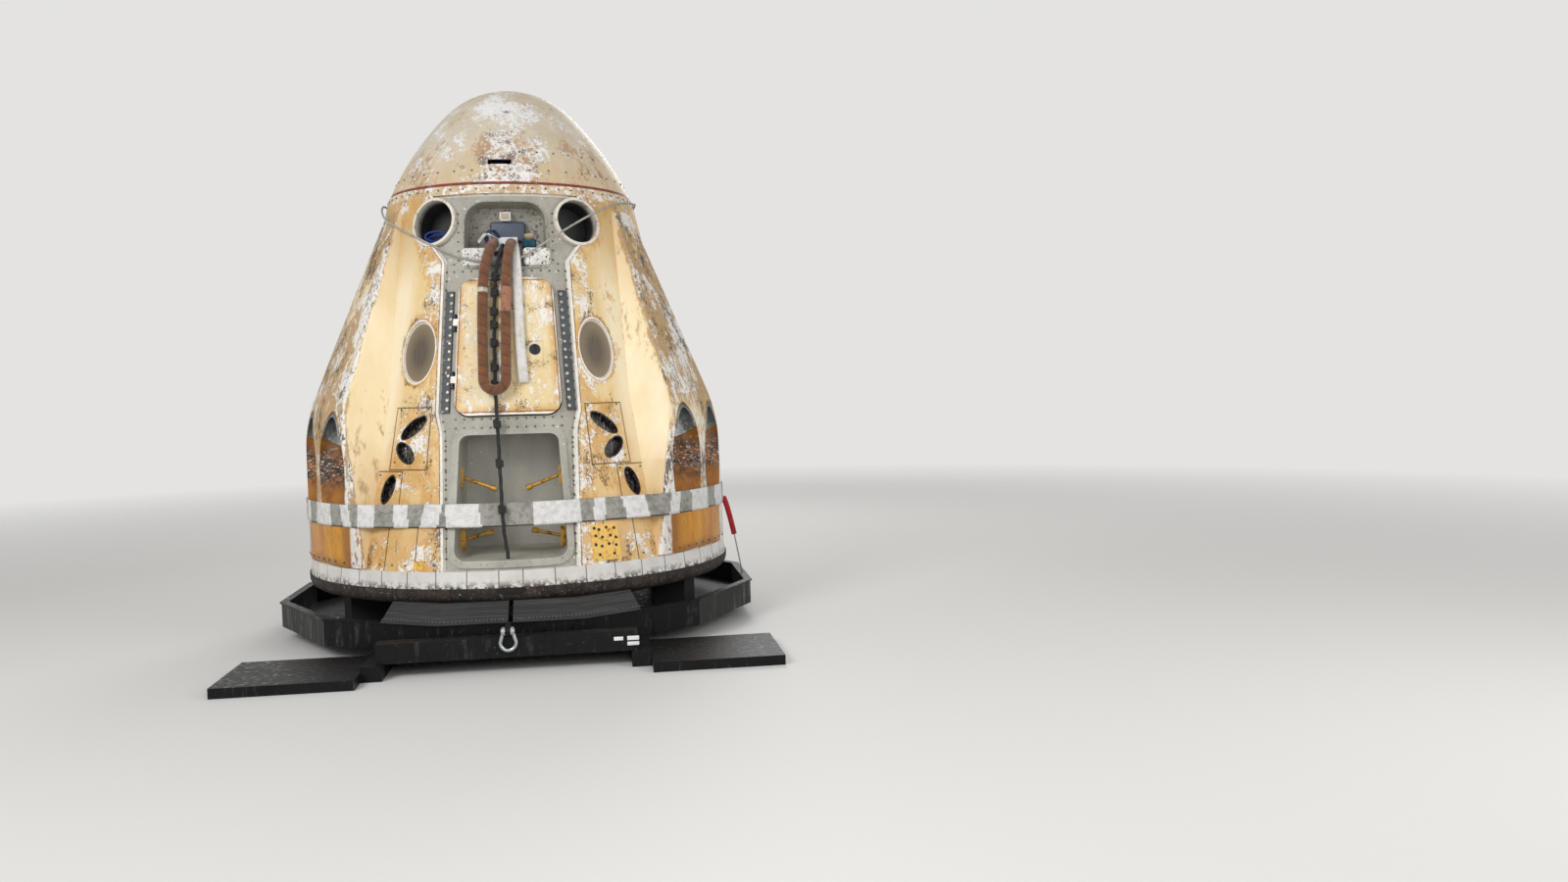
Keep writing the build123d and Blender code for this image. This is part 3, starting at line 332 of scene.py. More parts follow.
# Materials
def scorchedSkin(name):  # white ablator paint: baked cream and tan, flaked near frame, exits and foot
    place = newMaterial(name)
    folded, height = foldedOf(place), heightOf(place)
    azimuth = azimuthOf(folded)
    tall, thin = drawnOut(place, 1, 1, 0.30), drawnOut(place, 1, 1, 0.45)
    ahead = fade(axesOf(place)[1], 0.05, -0.05)  # the rear has no frame and no windows
    edge, oval = edgeOfFrame(folded, height), ovalGap(folded)
    halo = join(*[nearPoint(folded, quarterPoint(*spot), 0.10, 0.24) for spot in thrusterExits])
    beside = join(fade(edge, 0.15, 0.02), overlap(fade(edge, 0.30, 0.15), 0.82))
    panels = overlap(band(azimuth, 23, 36, 2.5), band(height, 0.70, 1.72, 0.16), 0.8)
    zone = join(overlap(ahead, beside), overlap(fade(height, 0.60, 0.32), 0.85), panels,
                overlap(fade(height, 2.9, 3.35), 0.75), overlap(fade(azimuth, 76, 84), 0.6),
                overlap(ahead, fade(oval, 1.5, 1.1)), 0.30)
    worn = flaking(thin, zone, 0.050, 0.30, 0.66, 0.05)
    white = flaking(place, zone, 0.026, 0.22, 0.52, 0.025)
    brown = flaking(thin, zone, 0.013, 0.14, 0.38, 0.02)
    lines = []
    radial = addNode("Math", {0: azimuth}, operation="RADIANS")
    for middle, level, halfWidth, halfHeight in jointFrames:
        aside = overlap(less(radial, math.radians(middle)), skinR(zOf(level)))
        gaps = [addNode("Math", {0: gap}, operation="ABSOLUTE") for gap in (aside, less(height, level))]
        lines.append(band(join(less(gaps[0], halfWidth), less(gaps[1], halfHeight)), -0.005, 0.005, 0.003))
    for line in (24.4, 33.4):
        lines.append(overlap(band(azimuth, line - 0.14, line + 0.14, 0.06), fade(height, 0.66, 0.64)))
    joints = join(*lines)
    colour = painted(
        "cream",
        ("warm", flakes(tall, 0.50, 0.45, 0.25)),
        ("tan", flakes(thin, 0.22, 0.42, 0.20, 9.0), 0.30),
        ("pale", flakes(place, 0.16, 0.40, 0.18, 9.0), 0.35),
        # painted highlight: a pale band on the skin beside each pod's flank, on all four quarters
        ("pale", band(azimuth, 36.0, 46, 2.6), band(height, 0.75, 2.9, 0.4), 0.85),
        ("tan", fade(height, 2.55, 3.15), 0.62),
        ("amber", fade(height, 1.6, 0.5), flakes(tall, 0.30, 0.60, 0.2), 0.75),
        ("amber", halo, flakes(place, 0.10, 0.55, 0.15), 0.7),
        ("amber", worn, 0.55),
        ("white", white),
        ("worn", join(white, worn), flakes(thin, 0.020, 0.26, 0.03, 8.0), 0.75),
        ("brown", brown, 0.85),
        ("soot", flakes(place, 0.012, 0.06, 0.02, 4.0), 0.8),
        ("dark", joints, 0.9),
        ("brown", ahead, band(edge, 0.022, 0.030, 0.003), flakes(place, 0.08, 0.65, 0.06)),
        ("f0ebe2", ahead, join(band(edge, -0.02, 0.022, 0.003), band(oval, 0.9, 1.06, 0.012)),
         flakes(place, 0.04, 0.85, 0.08)),
        ("amber", ahead, band(oval, 1.06, 1.12, 0.01), flakes(place, 0.10, 0.6, 0.1), 0.8))
    return finished(colour, fade(zone, 0.2, 1.0, 0.36, 0.66), less(white, brown, joints), 0.0018, 0.8)


def scorchedPods(name):  # the same paint: smooth cream flanks, streaked slopes, amber and brown troughs
    place = newMaterial(name)
    folded, height = foldedOf(place), heightOf(place)
    azimuth = azimuthOf(folded)
    outwards = addNode("VectorMath", {0: drawnOut(place, 1, 1, 0)}, operation="NORMALIZE")
    facing = lengthAlong(addNode("TexCoord", out=1), outwards)
    outer = fade(facing, 0.72, 0.80)
    tall, slant = drawnOut(place, 1, 1, 0.30), drawnOut(place, 1, 1, 0.34)
    edges = overlap(band(facing, 0.55, 0.95, 0.08), join(fade(height, 1.9, 1.3), 0.55))
    zone = join(overlap(outer, fade(height, 1.30, 1.60)), overlap(outer, 0.9), edges, 0.18)
    worn = flaking(slant, zone, 0.09, 0.40, 0.72, 0.06)
    white = flaking(slant, zone, 0.040, 0.30, 0.50, 0.03)
    brown = flaking(slant, zone, 0.018, 0.16, 0.29, 0.025)
    bare = painted(
        "deepAmber",
        ("brown", flakes(slant, 0.16, 0.5, 0.16)),
        ("b3762c", fade(height, 0.95, 0.70), flakes(tall, 0.2, 0.6, 0.2)),
        ("bd8530", fade(height, 1.18, 1.34), flakes(place, 0.15, 0.6, 0.1)),
        ("dark", band(height, 0.84, 1.14, 0.07), flakes(place, 0.08, 0.5, 0.06)),
        ("dcd8d2", band(height, 0.90, 1.16, 0.05), flakes(drawnOut(place, 1, 1, 1.8), 0.03, 0.30, 0.03, 8.0)))
    ends = join(fade(height, 0.24, 0.17), fade(azimuth, 49, 45.5), fade(azimuth, 69, 72))
    strip = join(fade(azimuth, 71.5, 72.5), fade(azimuth, 44.3, 43.6))
    plate = painted(
        "dc9a1e",
        ("b66f14", flakes(tall, 0.20, 0.45, 0.2)),
        ("7a4716", ends, 0.6),
        ("dark", flakes(place, 0.012, 0.08, 0.02), 0.8),
        ("white", strip, flakes(slant, 0.03, 0.66, 0.04, 8.0)))
    skirt = overlap(outer, fade(height, 0.60, 0.585))
    colour = painted(
        "pale",
        ("cream", flakes(tall, 0.45, 0.42, 0.22)),
        ("warm", flakes(tall, 0.20, 0.36, 0.20, 9.0), 0.25),
        ("tan", fade(height, 2.3, 3.1), 0.6),
        ("amber", fade(height, 1.3, 0.5), flakes(tall, 0.3, 0.55, 0.2), 0.8),
        ("worn", worn, 0.8),
        ("white", white),
        ("8d6b47", join(white, worn), flakes(slant, 0.022, 0.28, 0.03, 8.0), 0.8),
        ("dark", brown, 0.85),
        (bare, troughMask(folded, -1)),
        (bare, troughMask(folded, 1)),
        (plate, skirt))
    return finished(colour, fade(less(zone, skirt), 0.0, 1.0, 0.30, 0.68), less(white, brown), 0.0024, 0.9)


def hotNozzle(name):  # bare nickel alloy horns, heat-blued, with painted shade deep in the throat
    place = newMaterial(name)
    height = heightOf(place)
    frost = flakes(place, 0.03, 0.30, 0.05, 8.0)
    # painted shade: black deep in the throat, fading in from 1.40 m to 1.56 m above the shoulder
    colour = painted("9aa0a0", ("6d7272", flakes(drawnOut(place, 1, 1, 0.35), 0.07, 0.5, 0.15)),
                     ("1b1c1d", fade(height, 1.40, 1.56)), ("d9d6cf", frost, fade(height, 1.45, 1.25)))
    return finished(colour, 0.42, frost, 0.001, 0.6, metallic=0.55)


def wetCups(name):  # silicon carbide exit cups, black and glassy with water on them, with painted highlights
    place = newMaterial(name)
    streaksAndGlints = flakes(drawnOut(place, 1, 1, 0.25), 0.02, 0.42, 0.06)
    # grey streaks, partly painted glints; pale streaks over them, painted highlights
    colour = painted("181513", ("57504a", streaksAndGlints),
                     ("d9d4ca", flakes(drawnOut(place, 1, 1, 0.35), 0.024, 0.17, 0.03)))
    return finished(colour, 0.18, streaksAndGlints, 0.002, 0.8, metallic=0.3)


def noseCoating(name):  # white paint over cork: beige soot, a white streak down the front, brown burns
    place = newMaterial(name)
    x, y, z = axesOf(place)
    tall = drawnOut(place, 1, 1, 0.5)
    streak = overlap(band(x, -0.34, 0.40, 0.16), fade(z, 5.06, 4.92))
    side = overlap(band(x, 0.42, 0.78, 0.08), band(z, 4.35, 4.85, 0.08), 0.8)
    zone = join(overlap(fade(y, -0.1, -0.6), join(streak, side)), 0.60)
    burnt = flaking(tall, join(overlap(zone, fade(z, 4.95, 4.45)), 0.45), 0.045, 0.30, 0.60, 0.05)
    patch = overlap(nearPoint(place, (0.02, -0.74, 4.90), 0.10, 0.24), flakes(place, 0.08, 0.80, 0.08, 9.0))
    white = join(flaking(place, zone, 0.040, 0.28, 0.60, 0.04), patch)
    brown = flaking(place, overlap(zone, join(fade(z, 4.8, 4.4), 0.75)), 0.014, 0.14, 0.38, 0.02)
    grit = overlap(join(white, burnt), flakes(place, 0.022, 0.27, 0.03, 8.0))
    outwards = addNode("VectorMath", {0: place, 1: (0, 0, 3.6)}, operation="SUBTRACT")
    facing = lengthAlong(addNode("TexCoord", out=1), outwards)
    liner = painted("c3c1bb", ("a9a69e", flakes(place, 0.12, 0.4, 0.15)))  # bare composite inside
    colour = painted(
        "d9d1c2",
        ("c6b698", flakes(tall, 0.5, 0.5, 0.22)),
        ("b39c77", flakes(tall, 0.18, 0.40, 0.18, 9.0), 0.45),
        ("cfae7a", fade(z, 4.55, 4.15), 0.5),
        ("a97f55", burnt, 0.75),
        ("eae8e5", white),
        ("a58a6c", grit, fade(z, 5.0, 4.6, 0.3, 1.0), 0.7),
        ("6e4e36", brown, 0.85),
        ("7a5a40", flakes(place, 0.014, 0.10, 0.02, 5.0), 0.7),
        ("7a2a1a", band(z, 4.08, 4.108, 0.003), flakes(place, 0.06, 0.93, 0.1)),
        (liner, fade(facing, -0.01, -0.03)))
    return finished(colour, 0.5, less(white, brown), 0.0018, 0.8)


def hatchCoating(name):  # warm cream paint, amber towards its edge, flaked at the upper right and the foot
    place = newMaterial(name)
    height = heightOf(place)
    across = addNode("Math", {0: axesOf(place)[0]}, operation="ABSOLUTE")
    side = less(fade(height, hatch["foot"], hatch["top"], hatch["halfFoot"], hatch["halfTop"]), across)
    inset = combined("MINIMUM", side, less(height, hatch["foot"]), less(hatch["top"], height))
    tall = drawnOut(place, 1, 1, 0.45)
    zone = join(nearPoint(place, (0.26, -1.50, 3.12), 0.08, 0.40),
                nearPoint(place, (0.0, -1.80, 2.06), 0.12, 0.50), fade(inset, 0.06, 0.025), 0.78)
    white = flaking(tall, zone, 0.035, 0.20, 0.56, 0.03)
    groove = band(inset, 0.020, 0.029, 0.002)
    latchZ, latchX = zOf(hatch["latchHeight"]), hatch["latchX"]
    latch = nearPoint(place, (latchX, -math.sqrt(skinR(latchZ) ** 2 - latchX ** 2), latchZ), 0.062, 0.068)
    liner = painted("cfcdc8", ("b4b2ac", flakes(place, 0.12, 0.4, 0.15)))  # painted inner skin
    colour = painted(
        "ecd9ad",
        ("e0c68f", flakes(tall, 0.35, 0.45, 0.22)),
        ("tan", flakes(place, 0.14, 0.38, 0.18, 9.0), 0.35),
        ("c8913f", fade(inset, 0.09, 0.035), 0.7),
        ("ece6dc", white),
        ("worn", white, flakes(tall, 0.020, 0.28, 0.03, 8.0), 0.7),
        ("brown", flaking(place, zone, 0.013, 0.14, 0.38, 0.02), 0.85),
        ("86561f", groove),
        ("efe9df", fade(inset, 0.016, 0.012), flakes(place, 0.05, 0.85, 0.08)),
        ("d9cba8", latch, 0.85),
        (liner, fade(depthIn(place), 0.050, 0.056)))
    return finished(colour, 0.45, less(white, groove), 0.0015, 0.7)


def greyPaint(name, light, dark, scuffs=0.16, specks=0.16, trimmed=False):  # chalky grey, scuffed to primer
    place = newMaterial(name)
    height = heightOf(place)
    scuff = flakes(place, 0.05, scuffs, 0.03, 9.0)
    colour = painted(light, (dark, flakes(drawnOut(place, 1, 1, 0.5), 0.30, 0.5, 0.2)),
                     ("4d4b45", flakes(place, 0.020, specks, 0.02, 5.0)), ("e6e3dc", scuff))
    if trimmed:  # white sealant along the edge, as far as the drogue tubes
        rim = overlap(fade(edgeOfFrame(foldedOf(place), height), -0.020, -0.016), fade(height, 2.98, 2.94))
        rim = join(rim, fade(height, 3.375, 3.385))
        colour = painted(colour, ("ece8df", rim, flakes(place, 0.05, 0.85, 0.08)))
    return finished(colour, 0.55, scuff, 0.0008, 0.6)


def drogueTube(name):  # painted tube: thick pale rim, darker the deeper inside
    place = newMaterial(name)
    # darker from 15 mm to 10 cm inside the skin's cone
    colour = painted("dcd5c8", ("a8977e", flakes(place, 0.05, 0.30, 0.05, 8.0)),
                     ("2a2a2c", fade(depthIn(place), 0.015, 0.10)))
    return finished(colour, 0.6, flakes(place, 0.02, 0.3, 0.1), 0.0008, 0.5)


def sootyGlass(name):  # window pane under a film of soot, combed into fine wavy lines, with a pale gasket
    place = newMaterial(name)
    oval = ovalGap(foldedOf(place))
    comb = {"Vector": place, "Scale": 22.0, "Distortion": 5.0, "Detail": 4.0, "Detail Scale": 1.4}
    lines = addNode("TexWave", comb, bands_direction="X")
    colour = painted("6b5f50", ("453c33", lines), ("877860", fade(oval, 0.35, 0.95)),
                     ("cfc4b2", fade(oval, 0.930, 0.945)))
    return finished(colour, 0.42, lines, 0.0006, 0.4, specular=0.35)


def whiteTiles(name):  # white tile ring: a joint every 7.7 degrees, chipped edges, soot at the foot
    place = newMaterial(name)
    x, y, z = axesOf(place)
    turn = overlap(combined("ARCTAN2", x, y), 46.75 / (2 * math.pi))
    share = addNode("Math", {0: turn, 1: 1.0, 2: 0.0}, operation="WRAP")
    joint = join(fade(share, 0.018, 0.010), fade(share, 0.982, 0.990))
    colour = painted(
        "e3e1dd",
        ("cdc9c1", flakes(place, 0.20, 0.5, 0.2)),
        ("8d7a63", flakes(place, 0.03, 0.10, 0.02, 8.0)),
        ("4a4038", fade(z, 0.665, 0.605), flakes(place, 0.05, 0.50, 0.05, 7.0)),
        ("5a5148", joint))
    return finished(colour, 0.6, less(1.0, joint), 0.002, 0.8)


def charredShield(name):  # carbon phenolic heat shield: charred black tiles, ash and rust along the edge
    place = newMaterial(name)
    grid = {"Vector": place, "Scale": 1.0, "Mortar Size": 0.004, "Brick Width": 0.25, "Row Height": 0.25}
    colour = painted(
        "1f1b18",
        ("3c3029", flakes(place, 0.12, 0.45, 0.08)),
        ("7c6a57", flakes(place, 0.025, 0.22, 0.02, 8.0)),
        ("b8aa98", flakes(drawnOut(place, 1, 1, 3), 0.05, 0.10, 0.02, 8.0)),
        ("0f0d0c", addNode("TexBrick", grid, out=1, offset=0.0)))
    return finished(colour, 0.8, flakes(place, 0.04, 0.5, 0.15), 0.004, 0.8)


def plainFinish(name, base, marks, metallic, roughness, cover=0.2, grain=0.05):  # worn marks on one tone
    worn = flakes(newMaterial(name), grain, cover, 0.05, 8.0)
    gloss = fade(worn, 0, 1, roughness, min(1.0, roughness + 0.2))
    return finished(painted(base, (marks, worn)), gloss, worn, 0.0006, 0.5, metallic=metallic)


def wetBlackSteel(name):  # black epoxy on welded steel, wet, scuffed to bare metal in small specks
    place = newMaterial(name)
    drips = flakes(drawnOut(place, 1, 1, 0.12), 0.05, 0.30, 0.06, 6.0)
    colour = painted("070707", ("111112", flakes(place, 0.30, 0.5, 0.2)),
                     ("4b4c4e", drips, flakes(place, 0.2, 0.35, 0.1)),
                     ("8a8782", flakes(place, 0.025, 0.05, 0.02, 8.0)))
    return finished(colour, fade(drips, 0, 1, 0.46, 0.18), drips, 0.0012, 0.5, specular=0.2)


def laminatedRubber(name):  # bumper of black rubber sheets, 12 mm each, squeezed together
    place = newMaterial(name)
    sheets = addNode("Math", {0: overlap(axesOf(place)[2], 2 * math.pi / 0.012)}, operation="SINE")
    scuffs = flakes(drawnOut(place, 0.15, 0.15, 6), 0.10, 0.40, 0.08)
    colour = painted("0f0f10", ("202022", fade(sheets, -0.6, 0.6)), ("505052", scuffs, fade(sheets, 0.0, 0.9)))
    return finished(colour, 0.48, sheets, 0.0015, 0.9)


def fabric(name, base, marks, thread, sheen, weave="cross", roughness=0.85, edged=None):
    place, flat = newMaterial(name), addNode("TexCoord", out=2)  # thread is its spacing in metres
    threads = waves(flat, thread, 0.6, "Y")
    if weave == "cross":
        threads = join(threads, waves(flat, thread, 0.6, "X"))
    colour = painted(base, (marks, flakes(place, 0.05, 0.35, 0.12, 8.0)),
                     (marks, fade(threads, 0.45, 0.1), 0.35))
    if edged:  # a dark bound edge along the foot
        colour = painted(colour, (edged, fade(axesOf(flat)[1], 0.011, 0.008)))
    return finished(colour, roughness, threads, thread * 0.35, 0.9, sheen=sheen)


def stropCover(name):  # brown felted sleeve, wound on at a slant, with two bare patches of tape
    place, flat = newMaterial(name), addNode("TexCoord", out=2)
    level = axesOf(flat)[1]
    fuzz = flakes(place, 0.012, 0.5, 0.2, 8.0)
    turns = waves(addNode("Mapping", {0: flat, 2: (0, 0, 0.35)}), 0.085, 2.5, "Y")
    colour = painted(
        "7b4a29",
        ("5d381f", flakes(place, 0.10, 0.5, 0.15)),
        ("916039", fuzz, 0.35),
        ("a58469", flakes(place, 0.016, 0.10, 0.03, 8.0)),
        ("3d2316", fade(turns, 0.14, 0.02), 0.5),
        ("cfc4bb", band(level, 0.60, 0.64, 0.004), flakes(place, 0.03, 0.7, 0.06)),
        ("a8735a", band(level, 2.33, 2.55, 0.004), flakes(place, 0.03, 0.75, 0.08)))
    return finished(colour, 0.95, combined("ADD", turns, fuzz), 0.006, 0.7, sheen=0.35)


def speckledFoam(name, base, specks, cover):  # closed-cell foam with soot specks
    place = newMaterial(name)
    speck = flakes(place, 0.022, cover, 0.03, 6.0)
    colour = painted(base, ("c9c4ba", flakes(place, 0.09, 0.4, 0.15)), (specks, speck))
    return finished(colour, 0.8, speck, 0.003, 0.8)


def coat(paint, *names):
    for name in names:
        for slot in nodes[name].material_slots:
            slot.material = paint


quarters = {  # azimuth of its nearer end, and which way round from there it lies
    "front_right": (0, 1), "front_left": (0, -1), "rear_right": (180, -1), "rear_left": (180, 1)}
coat(scorchedSkin("scorchedAblatorPaint"), *[quarter + "_panel" for quarter in quarters])
coat(scorchedPods("scorchedPodPaint"), *[quarter + "_pod" for quarter in quarters])
coat(hotNozzle("heatTintedNickelAlloy"), *[quarter + "_engines" for quarter in quarters])
coat(wetCups("glazedSiliconCarbide"), *[quarter + "_thrusters" for quarter in quarters])
coat(noseCoating("sootedNosePaint"), "nose_cone")
coat(hatchCoating("scorchedHatchPaint"), "side_hatch")
coat(greyPaint("chalkyGreyPaint", "b3afa4", "918d84", trimmed=True), "front_frame")
coat(greyPaint("bayGreyPaint", "b5b2a8", "98958b", 0.07), "main_parachute_bay")
coat(greyPaint("alcoveGreyPaint", "b1ada1", "858278", 0.10, 0.33), "pilot_parachute_alcove")
coat(greyPaint("scorchedRingPaint", "dccbae", "b08b60", 0.40), "upper_ring")
coat(greyPaint("channelPlatePaint", "4d5357", "2d3136", 0.14), "riser_channels")
coat(drogueTube("drogueTubePaint"), "right_drogue_tube", "left_drogue_tube")
coat(sootyGlass("sootyWindowGlass"), "right_window", "left_window")
coat(whiteTiles("whiteCeramicTile"), "shoulder_ring")
coat(charredShield("charredCarbonPhenolic"), "heat_shield")
coat(plainFinish("anodisedAluminium", "b9bbbd", "8d8f91", 0.9, 0.38),
     "docking_ring", "forward_bulkhead", "forward_hatch", "riser_fitting")
coat(plainFinish("blackedSteel", "3a3a3b", "6a6560", 0.8, 0.42),
     "hatch_hinges", "nose_cone_hinge", "hatch_latch_socket", "forward_hatch_hinge")
coat(plainFinish("yellowPassivatedClamp", "c89a3e", "7a4f28", 0.45, 0.45, 0.35, 0.04), "bay_clamp_arms")
coat(plainFinish("whiteCabinLaminate", "d9dadb", "b9bbbd", 0.0, 0.5), "cabin_floor", "display_console")
coat(plainFinish("blackSeatFoam", "2b2d31", "3c3f45", 0.0, 0.8), "crew_seats")
coat(wetBlackSteel("wetBlackEpoxySteel"), "nest_runners", "nest_deck", "nest_ring", "nest_front_beam",
     "nest_rear_beam", "nest_foot_plates", "nest_bumper_shelf", "towing_lugs")
coat(laminatedRubber("laminatedBlackRubber"), "nest_bumper")
coat(plainFinish("blackNeoprene", "1c1c1d", "39393a", 0.0, 0.7), "nest_pads")
coat(plainFinish("galvanisedShackleSteel", "b4b7ba", "7d8084", 0.95, 0.30), "bow_shackle")
print("materials made")


# Cords: each route repeats the points that its tube in the model follows
strop = {"radius": 0.044, "length": 3.152, "route": [
    (-0.105, -1.1203, 3.560), (-0.105, -1.200, 3.560), (-0.128, -1.322, 3.494), (-0.168, -1.402, 3.345),
    (-0.190, -1.436, 3.180), (-0.197, -1.480, 2.980), (-0.199, -1.530, 2.770), (-0.198, -1.585, 2.570),
    (-0.196, -1.629, 2.420), (-0.195, -1.674, 2.292), (-0.100, -1.706, 2.237), (-0.005, -1.686, 2.292),
    (-0.004, -1.640, 2.420), (-0.003, -1.593, 2.570), (0.000, -1.541, 2.770), (0.003, -1.490, 2.980),
    (0.008, -1.444, 3.180), (0.020, -1.408, 3.345), (0.037, -1.326, 3.492), (0.045, -1.200, 3.560),
    (0.045, -1.1203, 3.560)]}
rope = {"radius": 0.017, "strands": 3, "pitch": 0.13, "knotRadius": 0.011, "partingLevel": 1.975,
        "knotLevels": (3.24, 3.10, 2.93, 2.82, 2.66, 2.45, 2.30, 1.96, 1.63, 1.25), "route": [
    (-0.030, -1.1203, 3.545), (-0.030, -1.190, 3.545), (-0.046, -1.300, 3.455), (-0.075, -1.370, 3.310),
    (-0.092, -1.411, 3.150), (-0.098, -1.458, 2.950), (-0.101, -1.507, 2.750), (-0.102, -1.554, 2.550),
    (-0.101, -1.602, 2.350), (-0.098, -1.644, 2.180), (-0.092, -1.686, 2.030), (-0.084, -1.724, 1.870),
    (-0.076, -1.768, 1.690), (-0.070, -1.815, 1.500), (-0.062, -1.864, 1.320), (-0.054, -1.908, 1.150),
    (-0.046, -1.918, 1.040), (-0.038, -1.893, 0.955), (-0.030, -1.858, 0.893), (-0.028, -1.852, 0.827)]}
line = {"radius": 0.010, "length": 8.017,
        "rear": [  # azimuth, height above the shoulder, distance outside the skin
            (81, 3.440, 0.034), (100, 3.432, 0.034), (120, 3.415, 0.034), (140, 3.392, 0.034),
            (160, 3.366, 0.034), (180, 3.350, 0.034), (200, 3.364, 0.034), (220, 3.390, 0.034),
            (240, 3.413, 0.034), (260, 3.430, 0.034), (279, 3.438, 0.034), (291, 3.355, 0.070),
            (303, 3.225, 0.095), (315, 3.110, 0.060)],
        "front": [
            (-0.655, -1.152, 3.550), (-0.440, -1.272, 3.440), (-0.250, -1.305, 3.385),
            (-0.060, -1.302, 3.372), (0.130, -1.300, 3.400), (0.335, -1.290, 3.540),
            (0.668, -1.112, 3.770), (0.905, -0.826, 3.925), (1.085, -0.540, 4.018), (1.176, -0.215, 4.038)]}
ontoHatch = {"start": (0, -1.42, 3.36), "end": (0, -1.50, 2.90)}  # from the capsule down over the hatch
offHatch = {"start": (0, -1.70, 1.92), "end": (0, -1.86, 1.38)}  # from the hatch down into the bay


def splinePoints(route, steps):  # points along the smooth line that a route's control points give
    data = bpy.data.curves.new("routeLine", "CURVE")
    data.dimensions = "3D"
    spline = data.splines.new("NURBS")
    spline.points.add(len(route) - 1)
    for point, place in zip(spline.points, route):
        point.co = (*place, 1)
    spline.order_u = 3
    spline.use_endpoint_u = True
    spline.resolution_u = steps
    carrier = bpy.data.objects.new("routeLine", data)
    bpy.context.collection.objects.link(carrier)
    bpy.context.view_layer.update()
    seen = carrier.evaluated_get(bpy.context.evaluated_depsgraph_get())
    points = [vertex.co.copy() for vertex in bpy.data.meshes.new_from_object(seen).vertices]
    bpy.data.objects.remove(carrier)
    return points


def meshFrom(form, name):
    mesh = bpy.data.meshes.new(name)
    form.to_mesh(mesh)
    form.free()
    return mesh


def linkedPiece(name, mesh, paint, body, smooth=True):
    piece = bpy.data.objects.new(name, mesh)
    bpy.context.collection.objects.link(piece)
    mesh.materials.append(paint)
    if smooth:
        mesh.shade_smooth()
    if body:
        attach(piece, body)
    return piece


def facesBetween(form, rows, step, closed=False):  # faces from row to row, each with its distance along
    layer = form.loops.layers.uv.new("along")
    for (first, start), (second, end) in zip(rows, rows[1:]):
        for k in range(len(first) if closed else len(first) - 1):
            after = (k + 1) % len(first)
            face = form.faces.new((first[k], first[after], second[after], second[k]))
            for loop, (u, v) in zip(face.loops, ((k, start), (k + 1, start), (k + 1, end), (k, end))):
                loop[layer].uv = (u * step, v)


def wayAt(points, i):
    return (points[min(i + 1, len(points) - 1)] - points[max(i - 1, 0)]).normalized()


def tubeMesh(name, points, radius, sides=16, strands=0, pitch=1.0):  # a tube, twisted if it has strands
    form = bmesh.new()
    rings, along = [], 0.0
    side = (points[1] - points[0]).orthogonal().normalized()
    for i, point in enumerate(points):
        way = wayAt(points, i)
        side = (side - way * side.dot(way)).normalized()
        up = way.cross(side)
        along += (point - points[i - 1]).length if i else 0.0
        ring = []
        for k in range(sides):
            angle = 2 * math.pi * k / sides
            reach = radius
            if strands:
                reach *= 0.90 + 0.10 * math.cos(strands * angle - 2 * math.pi * along / pitch)
            ring.append(form.verts.new(point + (side * math.cos(angle) + up * math.sin(angle)) * reach))
        rings.append((ring, along))
    facesBetween(form, rings, 2 * math.pi * radius / sides, closed=True)
    form.faces.new(list(reversed(rings[0][0])))
    form.faces.new(rings[-1][0])
    bmesh.ops.recalc_face_normals(form, faces=form.faces)
    return meshFrom(form, name), along


def makeStrop():
    path = splinePoints(strop["route"], 10)
    mesh = tubeMesh("strop_sleeve", path, strop["radius"], 20)[0]
    piece = linkedPiece("strop_sleeve", mesh, stropCover("brownFeltSleeve"), None)
    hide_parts("lifting_strop")
    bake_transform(piece)


def knotAt(points, level):  # three close turns of rope round the rope
    turns, steps, radius = 56, 18, rope["knotRadius"]
    near = min(range(len(points)), key=lambda i: abs(points[i].z - level))
    way = (points[near + 2] - points[near - 2]).normalized()
    side = way.orthogonal().normalized()
    up = way.cross(side)
    path = []
    for i in range(turns + 1):
        angle = 2 * math.pi * i / steps
        lift = (i / turns - 0.5) * radius * 5.4
        wide = rope["radius"] + radius * 0.7 + 0.15 * radius * math.sin(i)
        path.append(points[near] + way * lift + (side * math.cos(angle) + up * math.sin(angle)) * wide)
    return path


def makeRope(paint):
    points = splinePoints(rope["route"], 18)
    cut = min(range(len(points)), key=lambda i: abs(points[i].z - rope["partingLevel"]))
    halves = [("black_rope_upper", points[:cut + 1], "knot", ("capsule", "side_hatch"), ontoHatch),
              ("black_rope_lower", points[cut:], "object", ("side_hatch", "capsule"), offHatch)]
    for name, path, farEnd, bodies, bend in halves:
        mesh, length = tubeMesh(name, path, rope["radius"], 18, rope["strands"], rope["pitch"])
        piece = linkedPiece(name, mesh, paint, None)
        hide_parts("knotted_rope")
        knots = []
        for level in rope["knotLevels"]:
            if path[-1].z + 0.01 < level < path[0].z - 0.01:
                knot = tubeMesh("knot", knotAt(path, level), rope["knotRadius"], 10)[0]
                knots.append(linkedPiece("rope_knot_%d" % round(level * 100), knot, paint, None))
        for part in knots + [piece]:
            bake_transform(part)
        print("rope half", name, round(length, 3))


def makeLine(paint):
    route = [around(skinR(zOf(height)) + out, azimuth, zOf(height)) for azimuth, height, out in line["rear"]]
    path = splinePoints(route + line["front"], 14)
    mesh = tubeMesh("grey_tag_line", path, line["radius"], 10, 3, 0.05)[0]
    piece = linkedPiece("grey_tag_line", mesh, paint, "capsule")
    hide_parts("tag_line")


makeStrop()
makeRope(fabric("blackTwistedRope", "1b1a1a", "35322f", 0.006, 0.1, "along", 0.8))
makeLine(fabric("greyBraidedLine", "b9b5ad", "8c867c", 0.004, 0.1, "along", 0.8))
print("cords made")

